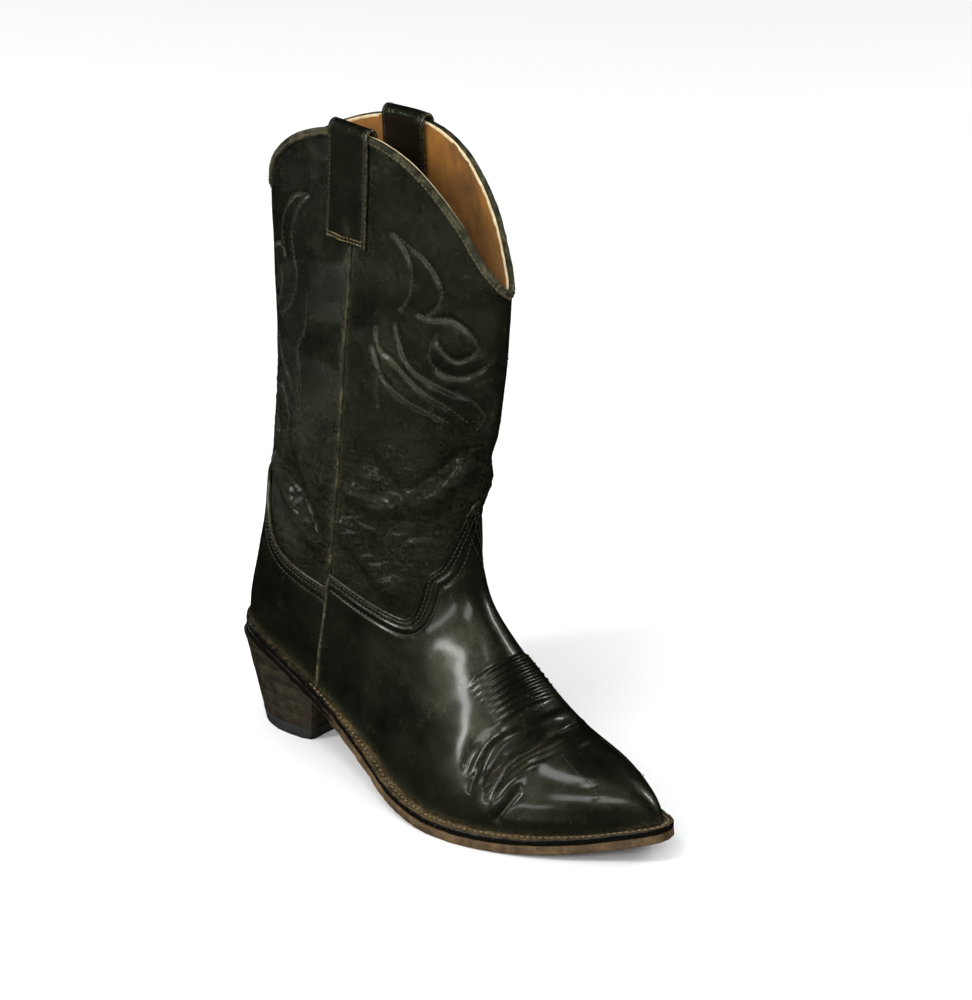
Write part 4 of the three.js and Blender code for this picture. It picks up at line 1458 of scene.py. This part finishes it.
def over_seat(plan, dz):
    """Plan points lifted to heights measured from the seat."""
    z = seat_height(plan[..., 0]) + dz
    return np.concatenate([plan, z[..., None]], axis=-1)


def make_welt():
    """The welt round the forepart and the rand round the heel seat."""
    inner = grown(feather, -WELT_INSET)
    wide = np.linalg.norm(sole_line - inner, axis=1)
    side_profile = [(0.9, 0), (0.35, -0.1), (0.05, -0.45), (0, -1.0), (0, -2.5), (0.1, -3.0),
                    (0.5, -WELT_THICK)]
    rings = []
    shown = wide - WELT_INSET
    top_profile = [(wide, 0), (shown * 0.95, 0)]
    for offset, depth in ((-CHANNEL_HALF, 0), (0, -CHANNEL_DEPTH), (CHANNEL_HALF, 0)):
        top_profile.append((shown * (1 - CHANNEL - offset), depth))
    rings += [over_seat(grown(sole_line, -inset), depth) for inset, depth in top_profile]
    rings += [over_seat(grown(sole_line, -inset), dz) for inset, dz in side_profile]
    rings.append(over_seat(inner, -WELT_THICK))
    rings = np.stack(rings, axis=1)
    rings[:, 1:-1] += 0.16 * ripple(rings[:, 1:-1], 7, 17)[..., None] * [0.6, 0.6, 1]
    x = feather[:, 0]
    on_top = np.zeros(rings.shape[:2])
    on_top[:, :TOP_RINGS] = 0.25 + 0.75 * blend(x, 85, 130)[:, None]
    front = np.nonzero(x > WELT_BACK)[0]
    back = np.nonzero(x < WELT_BACK - GAP)[0]
    back = np.concatenate([back[back > OUTLINE_STEPS // 2], back[back < OUTLINE_STEPS // 2]])
    for name, part, node in (("stitched_welt", front, "welt"), ("heel_seat_rand", back, "heel_rand")):
        lofted(name, rings[part], welt_leather, "welt_leather", [node],
               attributes={"wear": on_top[part].ravel()})


def make_outsole():
    """The leather outsole, with a rounded and slightly uneven edge."""
    half = OUTLINE_STEPS // 2
    rim = [(0.8, OUTSOLE_TOP), (0.3, OUTSOLE_TOP - 0.12), (0, OUTSOLE_TOP - 0.6),
           (0, -SOLE_UNDER_SEAT + 1.1), (0.35, -SOLE_UNDER_SEAT + 0.3), (1.1, -SOLE_UNDER_SEAT)]
    lines = [over_seat(grown(sole_line, -inset), dz) for inset, dz in rim]
    lines = [line + 0.14 * ripple(line, 6, 18)[:, None] * [1, 1, 0] for line in lines]
    shares = np.linspace(0, 1, 26)[1:-1, None]
    rings = []
    for k in range(1, half):
        outer, inner = [line[k] for line in lines], [line[-k] for line in lines]
        top = inner[0] + (outer[0] - inner[0]) * shares
        low = outer[-1] + (inner[-1] - outer[-1]) * shares
        top[:, 2] = seat_height(top[:, 0]) + OUTSOLE_TOP
        low[:, 2] = seat_height(low[:, 0]) - SOLE_UNDER_SEAT
        rings.append(np.vstack([top, outer, low, inner[::-1]]))
    rings = np.array(rings)
    under = rings[:, :, 2] < seat_height(rings[:, :, 0]) - SOLE_UNDER_SEAT + 0.6
    worn = np.maximum(blend(rings[:, :, 0], 80, 140), under)
    lofted("leather_outsole", rings, sole_leather, "sole_leather", ["outsole"],
           attributes={"wear": worn.ravel()})


HEEL = {
    "cap_top": 6.7, "lifts": 6, "top": 52, "back_top": -2.5, "back_floor": 10,
    "breast_top": 73, "breast_floor": 63, "half_top": 34.5, "half_floor": 28,
    "hollow": 3, "narrow": 0.97, "arc": 32,
}


def heel_ring(z, arc_points=44, breast_points=21):
    """Plan outline of the heel at a height, a D with a hollow breast."""
    mix = lambda low, high: HEEL[low] + (HEEL[high] - HEEL[low]) * z / HEEL["top"]
    back, breast = mix("back_floor", "back_top"), mix("breast_floor", "breast_top")
    half = mix("half_floor", "half_top")
    angle = np.pi * (0.5 + np.linspace(0, 1, arc_points))
    arc = np.stack([back + HEEL["arc"] * (1 + np.cos(angle)), half * np.sin(angle)], axis=1)
    place = np.linspace(-1, 1, breast_points)
    front = np.stack([
        breast - HEEL["hollow"] * (1 - place**2), half * HEEL["narrow"] * place
    ], axis=1)
    return np.vstack([arc, front])


def heel_slab(name, low, high, inset, material, slot, node):
    """One lift of the heel with softened rims, cut off under the sloping sole."""
    seat_x = np.linspace(-20, 120, 600)
    underside = seat_height(seat_x) - SOLE_UNDER_SEAT - GAP
    limit = np.interp(-(low + 0.8), -underside, seat_x)
    rims = [(0.5, low), (0.14, low + 0.12), (0, low + 0.5), (0, high - 0.5), (0.14, high - 0.12),
            (0.5, high)]
    rings = []
    for more, z in rims:
        plan = round_off(grown(heel_ring(z), -(more + inset)), 1)
        plan[:, 0] = np.minimum(plan[:, 0], limit - more)
        height = np.minimum(z, seat_height(plan[:, 0]) - SOLE_UNDER_SEAT - GAP)
        rings.append(np.column_stack([plan, height]))
    rings = np.array(rings)
    rings[1:-1] += 0.12 * ripple(rings[1:-1], 8, int(low))[..., None] * [1, 1, 0]
    lofted(name, rings, material, slot, [node], sharp=35)


def make_heel():
    """Rubber cap and stacked lifts."""
    rng = np.random.default_rng(21)
    heel_slab("rubber_heel_cap", 0, HEEL["cap_top"], 0, heel_rubber, "heel_rubber", "heel_cap")
    pitch = (HEEL["top"] + 3 - HEEL["cap_top"] - GAP) / HEEL["lifts"]
    for k in range(HEEL["lifts"]):
        low = HEEL["cap_top"] + GAP + k * pitch
        inset = rng.uniform(-0.05, 0.22)
        heel_slab(
            f"stacked_lift_{k + 1}", low, low + pitch - GAP * 0.6, inset, stacked_leather,
            "stacked_leather", f"heel_lift_{k + 1}",
        )


PAD_FRONT, PAD_LOW, PAD_HIGH, PAD_BOW = 84, 3.6, 5.4, 5


def make_heel_pad():
    """The padded sock under the heel of the foot, crowned and thin at its rim."""
    loop = seat_loop(INSIDE, 400)
    kept = loop[loop[:, 0] < PAD_FRONT]
    start = np.argmax(np.linalg.norm(np.roll(kept, -1, axis=0) - kept, axis=1)) + 1
    kept = np.roll(kept, -start, axis=0)
    y = np.linspace(kept[-1, 1], kept[0, 1], 14)[1:-1]
    bow = PAD_BOW * (1 - (y / np.abs(y).max()) ** 2)
    ring = np.vstack([kept, np.column_stack([PAD_FRONT - PAD_BOW + bow, y])])
    middle = ring.mean(axis=0)
    profile = [(0.04, PAD_LOW), (0.5, PAD_LOW), (0.97, PAD_LOW), (0.995, PAD_LOW + 0.4),
               (0.995, PAD_HIGH - 0.9), (0.96, PAD_HIGH - 0.35), (0.85, PAD_HIGH),
               (0.6, PAD_HIGH + 0.3), (0.3, PAD_HIGH + 0.4), (0.04, PAD_HIGH + 0.4)]
    rings = [over_seat(middle + (ring - middle) * share, dz) for share, dz in profile]
    pad = lofted("heel_sock_pad", rings, sock_leather, "lining_leather", ["heel_pad"])


# ------------------------------------------------------------------- stitches


def stitch_tree():
    """Geometry nodes that lay stitches along seam lines, facing outward."""
    tree = bpy.data.node_groups.new("stitches along seams", "GeometryNodeTree")
    face = tree.interface
    face.new_socket("Seams", in_out="INPUT", socket_type="NodeSocketGeometry")
    for name in ("Pitch", "Length", "Width", "Height", "Uneven"):
        face.new_socket(name, in_out="INPUT", socket_type="NodeSocketFloat")
    face.new_socket("Seed", in_out="INPUT", socket_type="NodeSocketInt")
    face.new_socket("Thread", in_out="INPUT", socket_type="NodeSocketMaterial")
    face.new_socket("Stitches", in_out="OUTPUT", socket_type="NodeSocketGeometry")
    given = add_node(tree, "NodeGroupInput").outputs
    curve = add_node(tree, "GeometryNodeMeshToCurve", Mesh=given["Seams"]).outputs[0]
    even = add_node(
        tree, "GeometryNodeResampleCurve", {"mode": "LENGTH"}, Curve=curve, Length=given["Pitch"]
    ).outputs[0]
    outward = add_node(
        tree, "GeometryNodeInputNamedAttribute", {"data_type": "FLOAT_VECTOR"}, Name="outward"
    ).outputs[0]
    ahead = add_node(tree, "GeometryNodeInputTangent").outputs[0]
    turn = add_node(
        tree, "FunctionNodeAxesToRotation", {"primary_axis": "Z", "secondary_axis": "X"},
        i0=outward, i1=ahead,
    ).outputs[0]
    size = add_node(
        tree, "ShaderNodeCombineXYZ", X=given["Length"], Y=given["Width"], Z=given["Height"]
    ).outputs[0]
    grain = add_node(
        tree, "GeometryNodeMeshUVSphere", Segments=8, Rings=5, Radius=0.5
    ).outputs["Mesh"]
    stitch = add_node(tree, "GeometryNodeTransform", Geometry=grain, Scale=size).outputs[0]
    least = add_node(tree, "ShaderNodeMath", {"operation": "SUBTRACT"}, i0=1.0, i1=given["Uneven"])
    most = add_node(tree, "ShaderNodeMath", {"operation": "ADD"}, i0=1.0, i1=given["Uneven"])
    spread = add_node(
        tree, "FunctionNodeRandomValue", {"data_type": "FLOAT"}, i2=least.outputs[0],
        i3=most.outputs[0], Seed=given["Seed"],
    ).outputs[1]
    laid = add_node(
        tree, "GeometryNodeInstanceOnPoints", Points=even, Instance=stitch, Rotation=turn,
        Scale=spread,
    ).outputs[0]
    real = add_node(tree, "GeometryNodeRealizeInstances", Geometry=laid).outputs[0]
    even_shade = add_node(tree, "GeometryNodeSetShadeSmooth", Geometry=real).outputs[0]
    done = add_node(
        tree, "GeometryNodeSetMaterial", Geometry=even_shade, Material=given["Thread"]
    ).outputs[0]
    add_node(tree, "NodeGroupOutput", Stitches=done)
    return tree


seam_stitches = stitch_tree()


def evaluated(piece, tree, values):
    """Runs a node tree on a piece with its inputs set, and keeps a plain mesh."""
    modifier = piece.modifiers.new("nodes", "NODES")
    modifier.node_group = tree
    for socket in tree.interface.items_tree:
        if socket.in_out == "INPUT" and socket.name in values:
            modifier[socket.identifier] = values[socket.name]
    graph = bpy.context.evaluated_depsgraph_get()
    mesh = bpy.data.meshes.new_from_object(piece.evaluated_get(graph))
    piece.modifiers.clear()
    piece.data = mesh
    mesh.name = piece.name
    return piece


# How each seam is sewn: thread, pitch, length, width, height, unevenness.
SEWING = {
    "leg": (dark_thread, 2.7, 2.3, 0.8, 0.55, 0.1),
    "row": (row_thread, 2.5, 2.1, 0.75, 0.5, 0.1),
    "toe": (dark_thread, 2.2, 1.9, 0.6, 0.4, 0.1),
    "welt": (welt_thread, 3.3, 2.9, 1.35, 1.0, 0.1),
    "binding": (binding_thread, 2.8, 2.3, 0.9, 0.6, 0.1),
    "strap_edge": (row_thread, 2.5, 2.1, 0.7, 0.4, 0.1),
    "strap_foot": (strap_thread, 2.3, 2.2, 0.9, 0.5, 0.3),
}
THREAD_LIFT = 0.12
ROW_SHARES = (0.004, 0.996)  # rows stop just short of the side seams
FAR_INSIDE = 50.0  # stands for a point far from every edge of its leather


def stitching(name, lines, sewing, seed):
    """Stitches along lines, each given as points and outward directions."""
    thread, pitch, length, width, height, uneven = SEWING[sewing]
    points, edges, outward = [], [], []
    for path, outs in lines:
        start = len(points)
        points += list((path + ORIGIN) * MM)
        outward += list(outs)
        edges += [(start + k, start + k + 1) for k in range(len(path) - 1)]
    mesh = bpy.data.meshes.new(name)
    mesh.from_pydata(points, edges, [])
    layer = mesh.attributes.new("outward", "FLOAT_VECTOR", "POINT")
    layer.data.foreach_set("vector", np.ravel(outward).astype(np.float32))
    piece = bpy.data.objects.new(name, mesh)
    bpy.context.scene.collection.objects.link(piece)
    values = {
        "Pitch": pitch * MM, "Length": length * MM, "Width": width * MM, "Height": height * MM,
        "Uneven": uneven, "Seed": seed, "Thread": thread,
    }
    evaluated(piece, seam_stitches, values)
    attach(piece, "root")
    return piece


def laid_on(places, layer, relief, from_top=FAR_INSIDE):
    """Lines of places turned into points and outward ways on a finished face."""
    lines = []
    for tu in places:
        base = on_form(tu)
        gaps = [np.full(len(tu), FAR_INSIDE), np.full(len(tu), from_top)]
        outs = unit(read_form("normals", tu))
        lines.append((on_form(tu, layer + relief(base, gaps) + THREAD_LIFT), outs))
    return lines


def make_stitching():
    """Every row of stitches on the upper and the welt."""
    for panel in ("front", "back"):
        lines = laid_on(pattern[panel], PANEL[0], panel_relief(pattern[panel]))
        stitching(f"{panel}_leg_stitching", lines, "leg", 31)
    for name, sewn, relief, steps, seed in (
        ("vamp_stitching", vamp_rows, vamp_relief, 300, 32),
        ("counter_stitching", counter_rows, counter_relief, 220, 33),
    ):
        rows = []
        for tu, gap in zip(sewn, ROW_GAPS):
            rows += laid_on([resample(tu, np.linspace(*ROW_SHARES, steps))], COVER[0], relief, gap)
        stitching(name, rows, "row", seed)
    toes = [resample(diamond, np.linspace(0, 1, 40))] + toe_seams
    stitching("toe_stitching", laid_on(toes, COVER[0], vamp_relief), "toe", 34)
    run = over_seat(grown(feather, overhang(feather[:, 0]) * CHANNEL), 0.05)
    front = run[feather[:, 0] > WELT_BACK + 3]
    up = np.broadcast_to([0.0, 0.0, 1.0], front.shape)
    stitching("welt_stitching", [(front, up)], "welt", 35)
    make_binding_stitches()
    make_strap_stitches()


def make_binding_stitches():
    """The row that holds the binding, near its lower edge."""
    places = top_loop()
    outs = unit(read_form("normals", places))
    path = on_form(places, BINDING_LAYER[0] + 0.15)
    path[:, 2] -= 0.66 * BINDING_HEIGHT
    closed = np.vstack([path, path[:1]]), np.vstack([outs, outs[:1]])
    stitching("binding_stitching", [closed], "binding", 36)


def make_strap_stitches():
    """Rows along the edges of the straps and boxes at their feet."""
    for name, box_name, side in (
        ("outer_strap_stitching", "outer_strap_foot_stitching", OUTER),
        ("inner_strap_stitching", "inner_strap_foot_stitching", INNER),
    ):
        shares, middle, outs = strap_sheet(side)
        lines = []
        place = 1 - STRAP_EDGE / STRAP["half"]
        lift = STRAP["thick"] / 2 - 0.1
        for share in (-place, place):
            k = np.interp(share, shares, np.arange(len(shares)))
            low, f = int(k), k - int(k)
            read = lambda grid: grid[:, low] * (1 - f) + grid[:, low + 1] * f
            lines.append(((read(middle) + read(outs) * lift)[2:-2], read(outs)[2:-2]))
        boxes = []
        inside = np.abs(shares) < place
        for row in (2, 4, len(middle) - 3):
            path, way = middle[row][inside], outs[row][inside]
            bumped = strap_bump(path) * (way[:, 1] * side > 0.5)
            boxes.append((path + way * (lift + 0.2 + bumped)[:, None], way))
        stitching(name, lines, "strap_edge", 37)
        stitching(box_name, boxes, "strap_foot", 38)


# ------------------------------------------------------------------ sole pegs


def peg_tree():
    """Geometry nodes that stand a peg on every point."""
    tree = bpy.data.node_groups.new("pegs on points", "GeometryNodeTree")
    face = tree.interface
    face.new_socket("Places", in_out="INPUT", socket_type="NodeSocketGeometry")
    for name in ("Radius", "Length"):
        face.new_socket(name, in_out="INPUT", socket_type="NodeSocketFloat")
    face.new_socket("Wood", in_out="INPUT", socket_type="NodeSocketMaterial")
    face.new_socket("Pegs", in_out="OUTPUT", socket_type="NodeSocketGeometry")
    given = add_node(tree, "NodeGroupInput").outputs
    peg = add_node(
        tree, "GeometryNodeMeshCylinder", Vertices=12, Radius=given["Radius"], Depth=given["Length"]
    ).outputs["Mesh"]
    laid = add_node(
        tree, "GeometryNodeInstanceOnPoints", Points=given["Places"], Instance=peg
    ).outputs[0]
    real = add_node(tree, "GeometryNodeRealizeInstances", Geometry=laid).outputs[0]
    done = add_node(
        tree, "GeometryNodeSetMaterial", Geometry=real, Material=given["Wood"]
    ).outputs[0]
    add_node(tree, "NodeGroupOutput", Pegs=done)
    return tree


PEGS, PEG_LENGTH, PEG_SINK = 8, 8.0, 0.25


def make_pegs():
    """Wooden pegs through the waist of the sole, flush with its walking face."""
    names = [f"sole_peg_{k}" for k in range(1, PEGS + 1)]
    middles = []
    for name in names:
        low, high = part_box(name)
        x, y = (low.x + high.x) / 2, (low.y + high.y) / 2
        under = float(seat_height(x / MM - ORIGIN[0])) - SOLE_UNDER_SEAT - PEG_SINK
        middles.append((x, y, (under + PEG_LENGTH / 2) * MM))
    radius = (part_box(names[0])[1].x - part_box(names[0])[0].x) / 2
    mesh = bpy.data.meshes.new("lemonwood_pegs")
    mesh.from_pydata(middles, [], [])
    piece = bpy.data.objects.new("lemonwood_pegs", mesh)
    bpy.context.scene.collection.objects.link(piece)
    evaluated(piece, peg_tree(), {"Radius": radius, "Length": PEG_LENGTH * MM, "Wood": peg_wood})
    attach(piece, "root")
    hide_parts(*names)


# ------------------------------------------------------- parts the CAD shows

NAILS = 4
CAD_FINISHES = {"insole": insole_leather, "cork_filler": cork, "steel_shank": spring_steel}
CAD_FINISHES.update({f"heel_nail_{k}": nail_steel for k in range(1, NAILS + 1)})


def finish_cad_parts():
    """Gives the parts that keep their CAD shape their real material."""
    for name, material in CAD_FINISHES.items():
        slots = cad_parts[name].data.materials
        slots.clear()
        slots.append(material)


make_covers()
make_panels()
make_stiffeners()
make_linings()
make_top_edge()
make_piping()
make_straps()
make_welt()
make_outsole()
make_heel()
make_heel_pad()
make_stitching()
make_pegs()
finish_cad_parts()

# -------------------------------------------------- floor, lights and camera


def make_floor():
    """A plain pale floor."""
    material, tree, shader = new_material("matt white studio floor", Roughness=0.75)
    start_place(tree)
    tone = mixed(tree, noise(tree, 400, 2, 0.5), colour("#f1f1f0"), colour("#f6f6f5"))
    tree.links.new(tone, shader.inputs["Base Color"])
    half = 8.0  # metres
    mesh = bpy.data.meshes.new("studio_floor")
    mesh.from_pydata([(-half, -half, 0), (half, -half, 0), (half, half, 0), (-half, half, 0)],
                     [], [(0, 1, 2, 3)])
    mesh.materials.append(material)
    floor = bpy.data.objects.new("studio_floor", mesh)
    bpy.context.scene.collection.objects.link(floor)
    floor.visible_glossy = False  # the gloss shows the lamps only


def make_light(name, power, size, place, aim):
    """A soft rectangular studio light aimed at a point, in metres."""
    light = bpy.data.lights.new(name, "AREA")
    light.shape = "RECTANGLE"
    light.size, light.size_y = size
    light.energy = power
    lamp = bpy.data.objects.new(name, light)
    lamp.location = place
    lamp.rotation_euler = (Vector(aim) - Vector(place)).to_track_quat("-Z", "Y").to_euler()
    bpy.context.scene.collection.objects.link(lamp)


VIEW_AZIMUTH, VIEW_ELEVATION = math.radians(46), math.radians(22)
VIEW_AIM = (np.array([130, 0, 160]) + ORIGIN) * MM
VIEW_DISTANCE = 2.5
LENS = 167.0
VIEW_SHIFT = (0.058, -0.004)


def view_axes():
    """Directions to the camera's back and right."""
    a, e = VIEW_AZIMUTH, VIEW_ELEVATION
    back = Vector((math.sin(a) * math.cos(e), -math.cos(a) * math.cos(e), math.sin(e)))
    return back, Vector((math.cos(a), math.sin(a), 0))


# Lamps as name, power in watts, size, and place from the boot in metres: to the
# camera's right, beyond the boot, and up.
LAMPS = [
    ("overhead box", 9, (0.5, 0.4), (-0.5, -0.8, 1.65)),
    ("left box", 20, (0.22, 0.9), (-1.57, -0.73, 1.0)),
    ("right window", 13, (0.19, 0.75), (1.5, 0.35, 0.95)),
    ("front fill", 15, (1.1, 0.45), (-0.5, -1.9, 1.0)),
    ("low window", 6, (1.2, 0.13), (-1.35, -1.35, 0.22)),
    ("back left box", 4, (0.2, 0.9), (-1.4, 1.4, 0.4)),
]
LAMP_AIM = Vector((0, 0, 0.17))


def make_lights():
    """Soft boxes and windows round the boot, in a pale room."""
    back, right = view_axes()
    ahead = Vector((-back.x, -back.y, 0)).normalized()
    for name, power, size, (to_right, beyond, height) in LAMPS:
        place = LAMP_AIM + right * to_right + ahead * beyond + Vector((0, 0, height))
        make_light(name, power, size, place, LAMP_AIM)
    world = bpy.data.worlds.new("pale room")
    world.use_nodes = True
    background = world.node_tree.nodes["Background"]
    background.inputs["Color"].default_value = colour("#f2f4f6")
    background.inputs["Strength"].default_value = 0.88
    world.cycles_visibility.glossy = False
    bpy.context.scene.world = world


def make_camera():
    """A long lens off the boot's outer front, looking a little down on it."""
    back, _ = view_axes()
    data = bpy.data.cameras.new("camera")
    data.lens = LENS
    data.shift_x, data.shift_y = VIEW_SHIFT
    data.clip_end = 50
    camera = bpy.data.objects.new("camera", data)
    camera.location = Vector(VIEW_AIM) + back * VIEW_DISTANCE
    camera.rotation_euler = (-back).to_track_quat("-Z", "Y").to_euler()
    bpy.context.scene.collection.objects.link(camera)
    bpy.context.scene.camera = camera


make_floor()
make_lights()
make_camera()
bpy.context.scene.view_settings.view_transform = "Standard"
